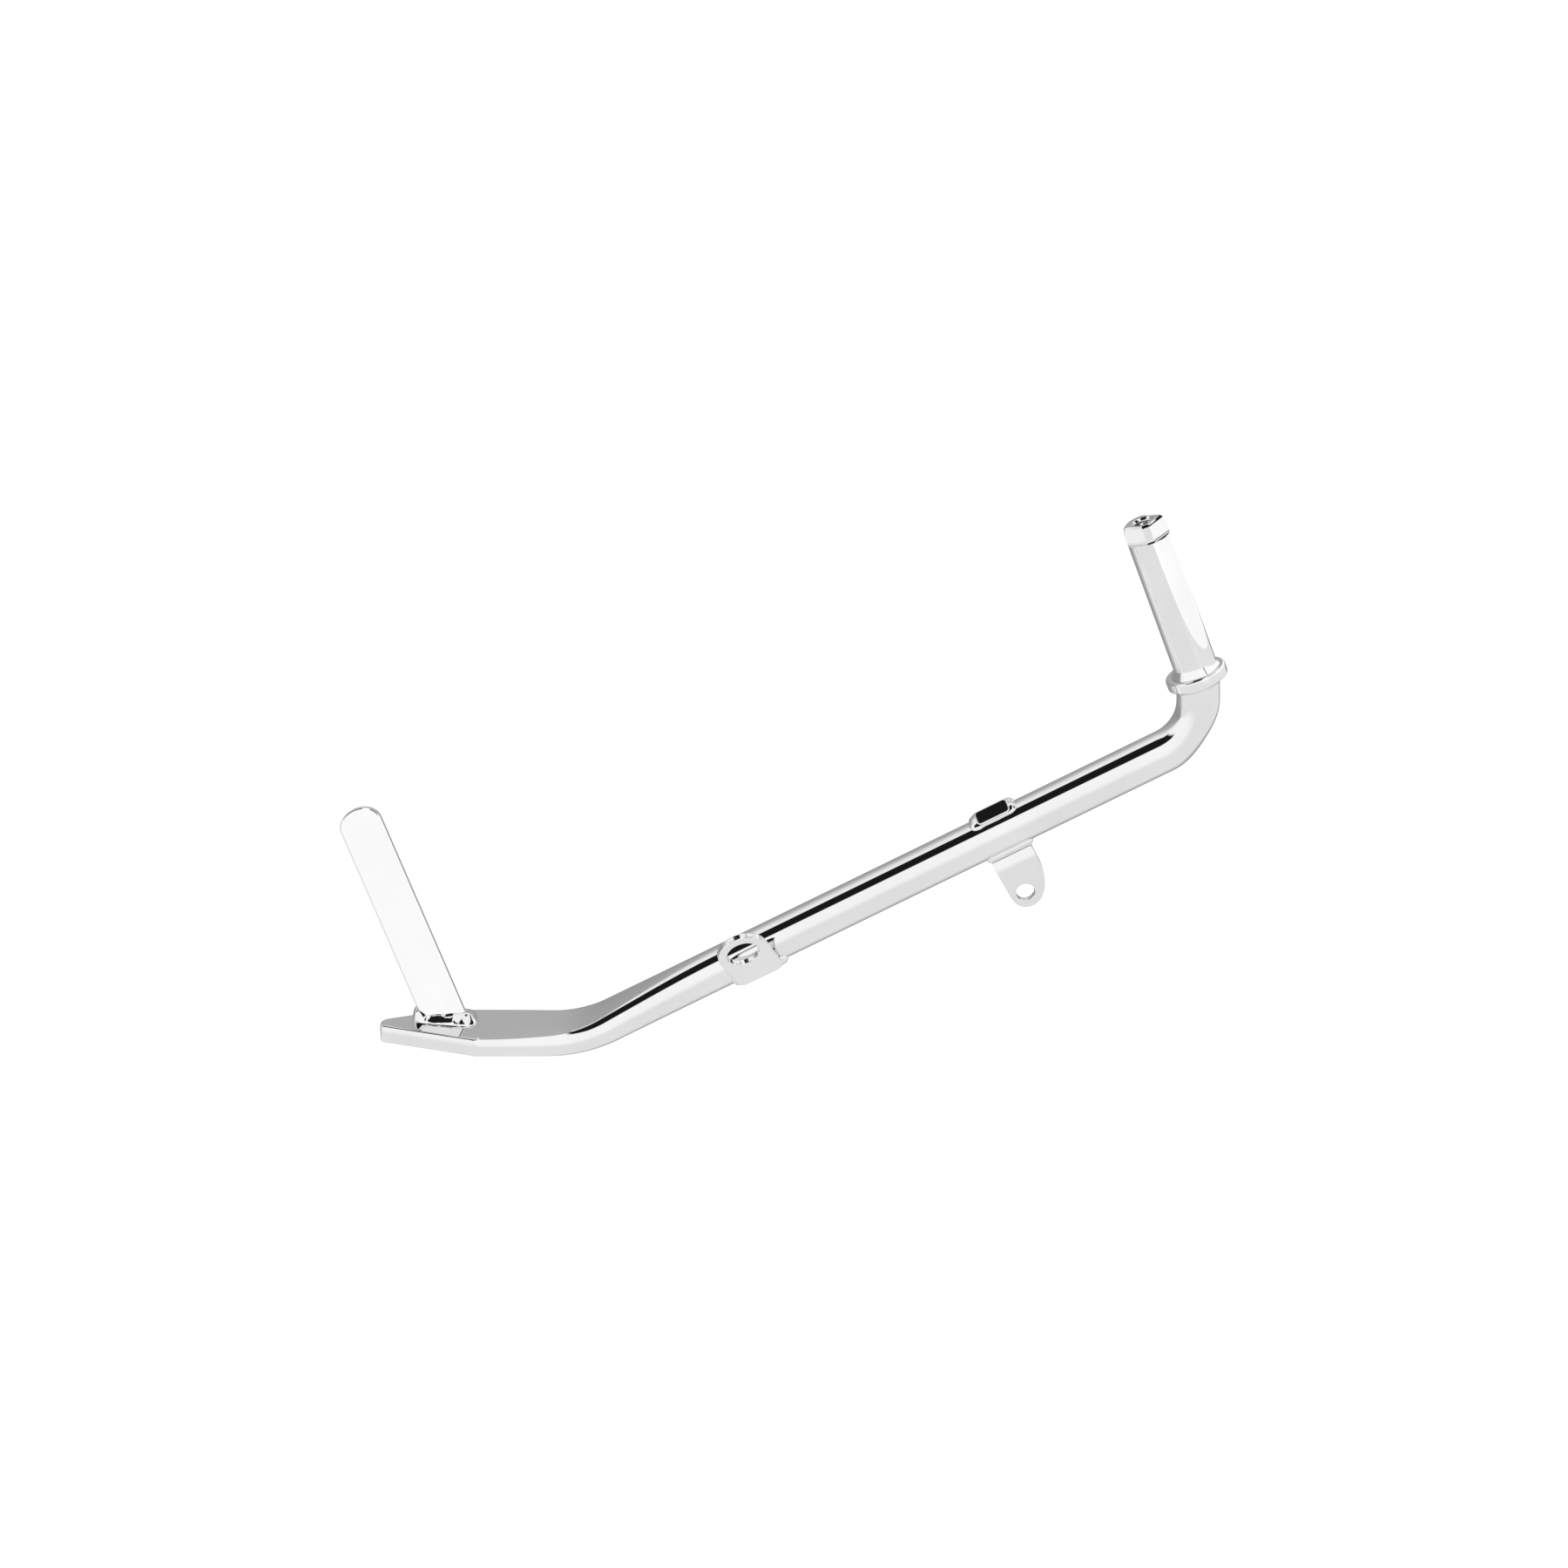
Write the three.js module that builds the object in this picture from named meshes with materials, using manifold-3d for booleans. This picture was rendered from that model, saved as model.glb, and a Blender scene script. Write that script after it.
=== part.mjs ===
// Motorcycle kickstand leg: a welded assembly of a bent round bar with a forged foot, a pivot
// spindle with a flatted drive end, a kick strap, a bumper bracket, a spring tab and a stop lug.
// Millimetres. The origin is on the spindle's axis at the top face of its collar, where the leg
// turns on the motorcycle. +Z is up with the foot's sole level, and the foot points along -X.
import * as THREE from 'three';
import { mergeVertices } from 'three/addons/utils/BufferGeometryUtils.js';
import Module from 'manifold-3d';

const wasm = await Module();
wasm.setup();

const rad = THREE.MathUtils.degToRad;

// Driving dimensions
const GAP = 0.3;                    // clear space between pieces that a weld joins

const BAR_RADIUS = 19.05 / 2;       // 3/4 inch round bar
const BAR_RISE = rad(28);           // slope of the straight bar over the level foot
const BAR_LENGTH = 309.4;           // between the two bends' corner points
const TOP_CORNER_X = 2.1;           // corner point of the bend under the collar
const TOP_CORNER_Z = -30.2;
const TOP_BEND_RADIUS = 26;
const TOP_BEND_THINNING = 1.5;      // bending flattens the outer side of the bar by this much
const STUB_LEAN = rad(2.7);         // the bar's top end leans this far from upright, to -X
const STUB_LENGTH = 34;             // from the corner point to past the collar's seat
const FOOT_BEND_RADIUS = 60;

const FOOT_HALF_HEIGHT = 4.25;      // forged foot section: flat faces with rounded sides
const FOOT_FLAT_HALF = 15.8;
const FOOT_SIDE_BULGE = 1.2;
const FOOT_LENGTH = 92.7;           // from the foot's corner point to the toe
const ROUND_FROM = 75;              // the bar is fully round this far up from the corner point
const FLAT_UNTIL = 45;              // and fully flat this far down the foot
const TOE_FRONT_CUT = 47;           // the outboard cut starts this far down the foot,
const TOE_BACK_CUT = 63.3;          // the inboard cut this far,
const TOE_FRONT_Y = -1.4;           // and they leave a blunt toe between these two
const TOE_BACK_Y = 6.2;
const TOE_FRONT_CORNER = 2;
const TOE_BACK_CORNER = 4;

const SPINDLE_LEAN = rad(21.15);    // spindle's lean from upright, to -X
const SPINDLE_RADIUS = 19.05 / 2;
const SPINDLE_LENGTH = 72.5;        // above the collar's top face
const DRIVE_LENGTH = 8.1;           // flats milled on the end
const DRIVE_FLATS = [               // each flat's direction from +X, and its distance from the axis
  { turn: rad(-132), distance: 6.6 },
  { turn: rad(-90), distance: 7.7 },
  { turn: rad(-45), distance: 6.8 },
  { turn: rad(45), distance: 6.6 },
];
const TIP_TAPER_LENGTH = 4;         // the end narrows over this length
const TIP_RADIUS = 8.9;
const TIP_EDGE = 0.6;
const TAPPED_HOLE_RADIUS = 4;       // 3/8-16 tapping drill
const TAPPED_HOLE_DEPTH = 24;
const COUNTERSINK_RADIUS = 4.9;

const COLLAR_RADIUS = 13.6;
const COLLAR_THICKNESS = 5.2;
const COLLAR_OFFSET = -0.9;         // the collar's rim is a little off the spindle's axis
const COLLAR_EDGE = 0.8;
const COLLAR_WELD_WIDTH = 2.6;      // fillet on the collar, round the spindle
const COLLAR_WELD_RISE = 3.6;
const COLLAR_WELD_SWELL = 0.25;     // it bulges this far beyond a plain bevel
const LOWER_WELD_LEG = 1.3;         // bead under the collar, round the bar's end

const STRAP_WIDTH = 19.5;
const STRAP_THICKNESS = 6.35;
const STRAP_LENGTH = 104.2;
const STRAP_END_RISE = 8;           // height of the strap's half-oval end
const STRAP_LEAN = rad(22.95);      // towards the toe,
const STRAP_LEAN_BACK = rad(17);    // and inboard
const STRAP_X = -334.6;             // middle of the strap's foot
const STRAP_Y = 6.9;
const STRAP_EDGE = 0.7;
const STRAP_WELD_LEG = 3;
const STRAP_WELD_FLARE = 0.9;       // the bead is this much wider past the strap's narrow sides

const BRACKET_ALONG = 87.2;         // along the bar from the foot's corner point
const BRACKET_TILT = rad(31);       // the plate leans outward by this angle
const BRACKET_HALF_WIDTH = 11.4;
const BRACKET_THICKNESS = 3.2;
const BRACKET_HOLE_RADIUS = 7.3;
const BRACKET_HOLE_HEIGHT = 17.6;   // above the line where the plate meets the bar
const BRACKET_SKIRT = 3.8;          // below that line
const BRACKET_CORNER = 4;
const BRACKET_EDGE = 0.5;
const BRACKET_WELD_LEG = 2.4;
const BRACKET_WELD_RISE = rad(16);  // it climbs this far round the bar above that line
const BRACKET_WELD_HEAVY = 1.9;     // it grows to this many times its width on the pivot side,
const BRACKET_WELD_HEAVY_FROM = 0.6;  // between these shares of its length
const BRACKET_WELD_HEAVY_BY = 0.85;
const BRACKET_WELD_TAPER = 0.11;    // it tapers over this share of its length at each end,
const BRACKET_WELD_TIP = 0.14;      // down to this share of its size

const TAB_LEFT = 202.3;             // along the bar from the foot's corner point
const TAB_RIGHT = 221.7;
const TAB_THICKNESS = 3.2;
const TAB_HOLE_ALONG = 209.3;
const TAB_HOLE_RADIUS = 4.2;
const TAB_HOLE_DROP = 29;           // below the bar's axis, measured down the tab
const TAB_DROP = 37;
const TAB_LEFT_TURN = { from: 28, pull: 6, endPull: 4 };    // how each side turns into the rounded
const TAB_RIGHT_TURN = { from: 17, pull: 10, endPull: 7 };  // end: where, and how hard it is drawn
const TAB_LEAN = rad(8.3);          // the hanging leg slopes back under the bar
const TAB_ROOT_SLOPE = rad(45);     // the short leg at the root slopes down and outward
const TAB_ROOT_OUT = 3.2;           // where the short leg's upper face leaves the bar
const TAB_FACE_OUT = 9.16;          // hanging leg's outer face from the bar's axis
const TAB_BEND_RADIUS = 9;
const TAB_ROOT_OVERRUN = 6;         // the short leg is drawn this far into the bar, then cut to fit it
const TAB_WELD_LEG = 1.8;
const TAB_WELD_BACK = rad(5);       // the bead stands off the tab's back by this much round the bar

const LUG_ALONG = 213.2;
const LUG_TILT = rad(53.5);         // the lug's flat face looks up and outward
const LUG_LENGTH = 16;
const LUG_WIDTH = 7.3;
const LUG_NEAR_EDGE = 0.3;
const LUG_HEIGHT = 1.5;             // face above the bar's surface
const LUG_CORNER = 2;
const LUG_EDGE = 0.6;
const LUG_WELD_LENGTH = 4.2;        // the bead tails off along the bar at both ends
const LUG_WELD_NEAR_WIDTH = 0.8;    // it is slight on the outboard side, where the lug is low,
const LUG_WELD_NEAR_HEIGHT = 0.9;
const LUG_WELD_FAR_WIDTH = 2.2;     // and full on the inboard side, where the lug stands taller
const LUG_WELD_FAR_HEIGHT = 2.6;

// Modelling choices
const RING_POINTS = 12;             // points round a weld bead
const BEAD_STEPS = 72;              // rings along it
const BEAD_CORNER = 0.8;            // its path turns a plate's corner on this radius
const ROUND_SEGMENTS = 48;          // facets round a turned piece
const CUTTER_SEGMENTS = 72;         // and round what only cuts
const CURVE_SEGMENTS = 20;          // along a curve of a plate's outline
const EDGE_SEGMENTS = 2;            // across a plate's eased rim
const TAB_BEND_STEPS = 8;
const FILLET_STEPS = 5;
const LEG_SECTION_POINTS = 40;
const FORGED_RING_STEP = 4.5;       // between the leg's rings where it changes section,
const BENT_RING_STEP = 2.5;         // and round the tighter bend
const FLAT_FACE_FROM = rad(72);     // points of the round section past this become the flat faces
const TOE_OVERRUN = 2;              // the leg is drawn this far past the toe before it is cut
const REACH = 40;                   // what cuts a piece reaches this far past it
const OVERCUT = 1.2;                // and passes the face that it meets by this much
const ZERO = 1e-6;

// Materials: bright chrome plate, and the slightly rougher plate over weld metal
const chrome = { color: 0xdfe1e3, metalness: 1, roughness: 0.06 };
const weldChrome = { color: 0xd4d6d8, metalness: 1, roughness: 0.14 };

// Working values
const FOOT_HALF_WIDTH = FOOT_FLAT_HALF + FOOT_SIDE_BULGE;
const FOOT_CORNER_X = TOP_CORNER_X - BAR_LENGTH * Math.cos(BAR_RISE);
const FOOT_CORNER_Z = TOP_CORNER_Z - BAR_LENGTH * Math.sin(BAR_RISE);
const FOOT_TOP_Z = FOOT_CORNER_Z + FOOT_HALF_HEIGHT;
const TOE_X = FOOT_CORNER_X - FOOT_LENGTH;

// Turns a closed geometry into a manifold solid.
function solid(geometry) {
  const bare = geometry.clone();
  bare.deleteAttribute('normal');
  bare.deleteAttribute('uv');
  const merged = mergeVertices(bare, 1e-4);
  const corners = merged.index.array;
  const triangles = [];
  for (let i = 0; i < corners.length; i += 3) {
    const [a, b, c] = corners.slice(i, i + 3);
    if (a !== b && b !== c && c !== a) {
      triangles.push(a, b, c);
    }
  }
  return new wasm.Manifold(new wasm.Mesh({
    numProp: 3,
    vertProperties: new Float32Array(merged.attributes.position.array),
    triVerts: new Uint32Array(triangles),
  }));
}

// Turns a manifold solid back into a geometry.
function geometryOf(body) {
  const { vertProperties, triVerts } = body.getMesh();
  const geometry = new THREE.BufferGeometry();
  geometry.setAttribute('position', new THREE.BufferAttribute(new Float32Array(vertProperties), 3));
  geometry.setIndex(new THREE.BufferAttribute(new Uint32Array(triVerts), 1));
  return geometry;
}

// The largest of a solid's separate bodies.
function largestBody(body) {
  return body.decompose().sort((a, b) => b.volume() - a.volume())[0];
}

function mesh(name, body, look) {
  const geometry = geometryOf(body);
  geometry.computeVertexNormals();
  const piece = new THREE.Mesh(geometry, new THREE.MeshStandardMaterial(look));
  piece.name = name;
  return piece;
}

// Skins rings of equally many points into one closed geometry. Each ring runs right-handed about the
// direction of travel. A loop joins its last ring to its first; otherwise both ends are closed.
function skin(rings, loop) {
  const count = rings[0].length;
  const positions = rings.flat().flatMap((p) => [p.x, p.y, p.z]);
  const index = [];
  const spans = loop ? rings.length : rings.length - 1;
  for (let i = 0; i < spans; i++) {
    const here = i * count;
    const there = ((i + 1) % rings.length) * count;
    for (let j = 0; j < count; j++) {
      const k = (j + 1) % count;
      index.push(here + j, here + k, there + j);
      index.push(here + k, there + k, there + j);
    }
  }
  const ends = loop ? [] : [0, rings.length - 1];
  for (const end of ends) {
    const middle = new THREE.Vector3();
    rings[end].forEach((p) => middle.addScaledVector(p, 1 / count));
    const centre = positions.length / 3;
    positions.push(middle.x, middle.y, middle.z);
    for (let j = 0; j < count; j++) {
      const p = end * count + j;
      const q = end * count + ((j + 1) % count);
      index.push(...(end === 0 ? [centre, q, p] : [centre, p, q]));
    }
  }
  const geometry = new THREE.BufferGeometry();
  geometry.setAttribute('position', new THREE.Float32BufferAttribute(positions, 3));
  geometry.setIndex(index);
  return geometry;
}

// Extrudes an outline drawn in X and Z along Y, from y0 to y1, with its rims eased by `edge`.
function plate(outline, y0, y1, edge = 0) {
  const geometry = new THREE.ExtrudeGeometry(outline, {
    depth: y1 - y0 - 2 * edge,
    bevelEnabled: edge > 0,
    bevelThickness: edge,
    bevelSize: edge,
    bevelOffset: -edge,
    bevelSegments: EDGE_SEGMENTS,
    curveSegments: CURVE_SEGMENTS,
  });
  geometry.rotateX(Math.PI / 2);
  geometry.translate(0, y1 - edge, 0);
  return geometry;
}

// The bar grown by the gap, from x0 to x1 along it, for cutting what sits on it.
function barCutter(x0, x1) {
  const radius = BAR_RADIUS + GAP;
  const geometry = new THREE.CylinderGeometry(radius, radius, x1 - x0, CUTTER_SEGMENTS);
  geometry.rotateZ(Math.PI / 2);
  geometry.translate((x0 + x1) / 2, 0, 0);
  return solid(geometry);
}

// A cylinder along Y, for drilling a plate.
function drill(radius, x, z) {
  const geometry = new THREE.CylinderGeometry(radius, radius, 2 * REACH, ROUND_SEGMENTS);
  geometry.translate(x, 0, z);
  return geometry;
}

// Adds a line to a shape that ends in a rounded corner.
function roundedCorner(shape, from, corner, to, size) {
  const start = corner.clone().add(from.clone().sub(corner).setLength(size));
  const end = corner.clone().add(to.clone().sub(corner).setLength(size));
  shape.lineTo(start.x, start.y);
  shape.quadraticCurveTo(corner.x, corner.y, end.x, end.y);
}

// A closed rectangle with rounded corners, run anticlockwise.
function roundedRectangle(x0, x1, y0, y1, size) {
  const corners = [[x0, y0], [x1, y0], [x1, y1], [x0, y1]].map(([x, y]) => new THREE.Vector2(x, y));
  const shape = new THREE.Shape();
  shape.moveTo(x0, y0 + size);
  corners.forEach((corner, i) => {
    roundedCorner(shape, corners[(i + 3) % 4], corner, corners[(i + 1) % 4], size);
  });
  shape.closePath();
  return shape;
}

// A weld bead along a flat path. `place` puts a point of the path, and the direction that leads away
// from the joined piece there, on the surface that carries the bead, and gives the bead's half-width
// and half-height. The joined pieces are cut out of the bead.
function bead(path, loop, place, cutters) {
  const stations = [];
  const count = loop ? BEAD_STEPS : BEAD_STEPS + 1;
  for (let i = 0; i < count; i++) {
    const part = i / BEAD_STEPS;
    const point = path.getPointAt(part);
    const tangent = path.getTangentAt(part);
    stations.push(place(point, new THREE.Vector2(tangent.y, -tangent.x), part));
  }
  const rings = stations.map(({ root, out, up, wide, high }) => {
    const ring = [];
    for (let i = 0; i < RING_POINTS; i++) {
      const turn = (-2 * Math.PI * i) / RING_POINTS;
      ring.push(root.clone()
        .addScaledVector(out, wide * Math.cos(turn))
        .addScaledVector(up, high * Math.sin(turn)));
    }
    return ring;
  });
  const whole = solid(skin(rings, loop));
  return largestBody(cutters.reduce((body, cutter) => body.subtract(cutter), whole));
}

// Wraps a flat path, drawn along the bar and up round it from the outboard side, on to the bar.
function onBar(point, away, wide, high) {
  const turn = point.y / BAR_RADIUS;
  const up = new THREE.Vector3(0, -Math.cos(turn), Math.sin(turn));
  const root = up.clone().multiplyScalar(BAR_RADIUS).setX(point.x);
  const out = new THREE.Vector3(away.x, away.y * Math.sin(turn), away.y * Math.cos(turn));
  return { root, out, up, wide, high };
}

// The sign of a number, with the least of them taken as zero.
function signOf(value) {
  return Math.abs(value) < ZERO ? 0 : Math.sign(value);
}

// The leg's section at a stage of forging, from 0 for the round bar to 1 for the flat foot. Each
// point of the round section moves in a straight line to its place on the foot's section.
function legSection(stage) {
  const points = [];
  for (let i = 0; i < LEG_SECTION_POINTS; i++) {
    const turn = (2 * Math.PI * i) / LEG_SECTION_POINTS;
    const round = new THREE.Vector2(Math.cos(turn), Math.sin(turn)).multiplyScalar(BAR_RADIUS);
    const lift = Math.asin(Math.abs(Math.sin(turn)));
    const flat = new THREE.Vector2(FOOT_FLAT_HALF, FOOT_HALF_HEIGHT);
    if (lift > FLAT_FACE_FROM) {
      flat.x *= (Math.PI / 2 - lift) / (Math.PI / 2 - FLAT_FACE_FROM);
    } else {
      const rise = lift / FLAT_FACE_FROM;
      flat.x += FOOT_SIDE_BULGE * (1 - rise * rise);
      flat.y *= rise;
    }
    flat.x *= signOf(round.x);
    flat.y *= signOf(round.y);
    points.push(round.lerp(flat, stage));
  }
  return points;
}

// The leg's centre line in the X-Z plane: foot, bend, straight bar, bend, stub.
function legCentreLine() {
  const along = new THREE.Vector2(Math.cos(BAR_RISE), Math.sin(BAR_RISE));
  const upward = new THREE.Vector2(-along.y, along.x);
  const footBendFrom = FOOT_CORNER_X - FOOT_BEND_RADIUS * Math.tan(BAR_RISE / 2);
  const topTurn = Math.PI / 2 + STUB_LEAN - BAR_RISE;
  const topBendFrom = new THREE.Vector2(TOP_CORNER_X, TOP_CORNER_Z)
    .addScaledVector(along, -TOP_BEND_RADIUS * Math.tan(topTurn / 2));
  const topHub = topBendFrom.clone().addScaledVector(upward, TOP_BEND_RADIUS);
  const line = new THREE.Path();
  line.moveTo(TOE_X - TOE_OVERRUN, FOOT_CORNER_Z);
  line.lineTo(footBendFrom, FOOT_CORNER_Z);
  line.absarc(footBendFrom, FOOT_CORNER_Z + FOOT_BEND_RADIUS, FOOT_BEND_RADIUS,
    -Math.PI / 2, -Math.PI / 2 + BAR_RISE, false);
  line.lineTo(topBendFrom.x, topBendFrom.y);
  line.absarc(topHub.x, topHub.y, TOP_BEND_RADIUS, -Math.PI / 2 + BAR_RISE, STUB_LEAN, false);
  line.lineTo(TOP_CORNER_X - STUB_LENGTH * Math.sin(STUB_LEAN),
    TOP_CORNER_Z + STUB_LENGTH * Math.cos(STUB_LEAN));
  return line;
}

// What is sheared off round the toe, drawn in X and Y.
function toeScrap() {
  const toeFront = new THREE.Vector2(TOE_X, TOE_FRONT_Y);
  const toeBack = new THREE.Vector2(TOE_X, TOE_BACK_Y);
  const front = new THREE.Vector2(FOOT_CORNER_X - TOE_FRONT_CUT, -FOOT_HALF_WIDTH);
  const back = new THREE.Vector2(FOOT_CORNER_X - TOE_BACK_CUT, FOOT_HALF_WIDTH);
  const frontFar = toeFront.clone().lerp(front, (REACH + toeFront.y) / (toeFront.y - front.y));
  const backFar = toeBack.clone().lerp(back, (REACH - toeBack.y) / (back.y - toeBack.y));
  const scrap = new THREE.Shape();
  scrap.moveTo(TOE_X - REACH, -REACH);
  scrap.lineTo(frontFar.x, frontFar.y);
  roundedCorner(scrap, frontFar, toeFront, toeBack, TOE_FRONT_CORNER);
  roundedCorner(scrap, toeFront, toeBack, backFar, TOE_BACK_CORNER);
  scrap.lineTo(backFar.x, backFar.y);
  scrap.lineTo(TOE_X - REACH, REACH);
  scrap.closePath();
  return scrap;
}

function legBar() {
  const line = legCentreLine();
  const length = line.getLength();
  const cornerAt = FOOT_LENGTH + TOE_OVERRUN;
  const footSaving = FOOT_BEND_RADIUS * (2 * Math.tan(BAR_RISE / 2) - BAR_RISE);
  const flatUntil = cornerAt - FLAT_UNTIL;
  const roundFrom = cornerAt + ROUND_FROM;
  const topTurn = Math.PI / 2 + STUB_LEAN - BAR_RISE;
  const topBendFrom = cornerAt + BAR_LENGTH - TOP_BEND_RADIUS * Math.tan(topTurn / 2) - footSaving;
  const topBendLength = TOP_BEND_RADIUS * topTurn;
  const stops = [0];
  for (let at = flatUntil; at < roundFrom; at += FORGED_RING_STEP) {
    stops.push(at);
  }
  stops.push(roundFrom);
  for (let at = topBendFrom; at < length; at += BENT_RING_STEP) {
    stops.push(at);
  }
  stops.push(length);
  const rings = stops.map((at) => {
    const centre = line.getPointAt(at / length);
    const travel = line.getTangentAt(at / length);
    const stage = 1 - THREE.MathUtils.smoothstep(at, flatUntil, roundFrom);
    const bent = THREE.MathUtils.clamp((at - topBendFrom) / topBendLength, 0, 1);
    const thinning = (TOP_BEND_THINNING / BAR_RADIUS) * Math.sin(Math.PI * bent) ** 2;
    return legSection(stage).map((p) => {
      const lift = p.y < 0 ? p.y * (1 - thinning) : p.y;
      return new THREE.Vector3(centre.x - travel.y * lift, p.x, centre.y + travel.x * lift);
    });
  });
  const scrap = new THREE.ExtrudeGeometry(toeScrap(), { depth: 2 * REACH, bevelEnabled: false });
  scrap.translate(0, 0, FOOT_CORNER_Z - REACH);
  const aboveSeat = new THREE.BoxGeometry(2 * REACH, 2 * REACH, REACH);
  aboveSeat.translate(0, 0, REACH / 2 - COLLAR_THICKNESS - GAP);
  aboveSeat.rotateY(-SPINDLE_LEAN);
  const leg = solid(skin(rings, false)).subtract(solid(scrap)).subtract(solid(aboveSeat));
  return mesh('leg_bar', leg, chrome);
}

// Turned pieces are drawn as [radius, height] along the spindle's axis.
function turned(profile) {
  const points = profile.map(([radius, height]) => new THREE.Vector2(radius, height));
  const geometry = new THREE.LatheGeometry(points, ROUND_SEGMENTS);
  geometry.rotateX(Math.PI / 2);
  return geometry;
}

function pivotSpindle() {
  const top = SPINDLE_LENGTH;
  const flatsFrom = top - DRIVE_LENGTH;
  let body = solid(turned([
    [0, -COLLAR_THICKNESS],
    [SPINDLE_RADIUS, -COLLAR_THICKNESS],
    [SPINDLE_RADIUS, top - TIP_TAPER_LENGTH],
    [TIP_RADIUS, top - TIP_EDGE],
    [TIP_RADIUS - TIP_EDGE, top],
    [0, top],
  ]));
  for (const { turn, distance } of DRIVE_FLATS) {
    const offcut = new THREE.BoxGeometry(REACH, REACH, 2 * DRIVE_LENGTH);
    offcut.translate(distance + REACH / 2, 0, flatsFrom + DRIVE_LENGTH);
    offcut.rotateZ(turn);
    body = body.subtract(solid(offcut));
  }
  const hole = solid(turned([
    [0, top - TAPPED_HOLE_DEPTH],
    [TAPPED_HOLE_RADIUS, top - TAPPED_HOLE_DEPTH],
    [TAPPED_HOLE_RADIUS, top - (COUNTERSINK_RADIUS - TAPPED_HOLE_RADIUS)],
    [COUNTERSINK_RADIUS + OVERCUT, top + OVERCUT],
    [0, top + OVERCUT],
  ]));
  return mesh('pivot_spindle', body.subtract(hole), chrome);
}

function pivotCollar() {
  const under = -COLLAR_THICKNESS;
  const disc = turned([
    [0, under],
    [COLLAR_RADIUS - COLLAR_EDGE, under],
    [COLLAR_RADIUS, under + COLLAR_EDGE],
    [COLLAR_RADIUS, -COLLAR_EDGE],
    [COLLAR_RADIUS - COLLAR_EDGE, 0],
    [0, 0],
  ]);
  disc.translate(COLLAR_OFFSET, 0, 0);
  const bored = SPINDLE_RADIUS + GAP;
  const bore = turned([[0, -REACH], [bored, -REACH], [bored, REACH], [0, REACH]]);
  return mesh('pivot_collar', solid(disc).subtract(solid(bore)), chrome);
}

function collarUpperWeld() {
  const inner = SPINDLE_RADIUS + GAP;
  const profile = [[inner, GAP]];
  for (let i = 0; i <= FILLET_STEPS; i++) {
    const up = i / FILLET_STEPS;
    const swell = COLLAR_WELD_SWELL * Math.sin(Math.PI * up);
    profile.push([inner + COLLAR_WELD_WIDTH * (1 - up) + swell, GAP + COLLAR_WELD_RISE * up + swell]);
  }
  profile.push([inner, GAP]);
  const ring = turned(profile);
  return mesh('collar_upper_weld', solid(ring), weldChrome);
}

// The bead under the collar follows the oval where the leaning stub meets the collar.
function collarLowerWeld() {
  const seat = -COLLAR_THICKNESS - GAP;
  const lean = SPINDLE_LEAN - STUB_LEAN;
  const cornerX = TOP_CORNER_X * Math.cos(SPINDLE_LEAN) + TOP_CORNER_Z * Math.sin(SPINDLE_LEAN);
  const cornerZ = TOP_CORNER_Z * Math.cos(SPINDLE_LEAN) - TOP_CORNER_X * Math.sin(SPINDLE_LEAN);
  const grown = BAR_RADIUS + GAP;
  const stub = new THREE.CylinderGeometry(grown, grown, 2 * REACH, CUTTER_SEGMENTS);
  stub.rotateX(Math.PI / 2);
  stub.rotateY(lean);
  stub.translate(cornerX, 0, cornerZ);
  const above = new THREE.BoxGeometry(2 * REACH, 2 * REACH, REACH);
  above.translate(0, 0, seat + REACH / 2);
  const oval = new THREE.Path();
  const middle = cornerX + (seat - cornerZ) * Math.tan(lean);
  oval.absellipse(middle, 0, BAR_RADIUS / Math.cos(lean), BAR_RADIUS, 0, 2 * Math.PI, false, 0);
  const place = (point, away) => ({
    root: new THREE.Vector3(point.x, point.y, seat),
    out: new THREE.Vector3(away.x, away.y, 0),
    up: new THREE.Vector3(0, 0, 1),
    wide: LOWER_WELD_LEG,
    high: LOWER_WELD_LEG,
  });
  return mesh('collar_lower_weld', bead(oval, true, place, [solid(stub), solid(above)]), weldChrome);
}

// The strap, grown by `grow` and leaning, with its foot run on through the surface that it stands on.
function strapBody(grow, edge) {
  const half = STRAP_WIDTH / 2 + grow;
  const endFrom = STRAP_LENGTH - STRAP_END_RISE;
  const outline = new THREE.Shape();
  outline.moveTo(-half, -STRAP_WIDTH);
  outline.lineTo(half, -STRAP_WIDTH);
  outline.lineTo(half, endFrom);
  outline.absellipse(0, endFrom, half, STRAP_END_RISE + grow, 0, Math.PI, false, 0);
  outline.closePath();
  const body = plate(outline, -STRAP_THICKNESS / 2 - grow, STRAP_THICKNESS / 2 + grow, edge);
  body.rotateY(-STRAP_LEAN);
  body.rotateX(-STRAP_LEAN_BACK);
  return solid(body);
}

// Everything below the gap over the foot, which levels what stands on it.
function belowStrap() {
  const below = new THREE.BoxGeometry(2 * REACH, 2 * REACH, REACH);
  below.translate(0, 0, GAP - REACH / 2);
  return solid(below);
}

function kickStrap() {
  const strap = mesh('kick_strap', strapBody(0, STRAP_EDGE).subtract(belowStrap()), chrome);
  strap.position.set(STRAP_X, STRAP_Y, FOOT_TOP_Z);
  return strap;
}

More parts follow.
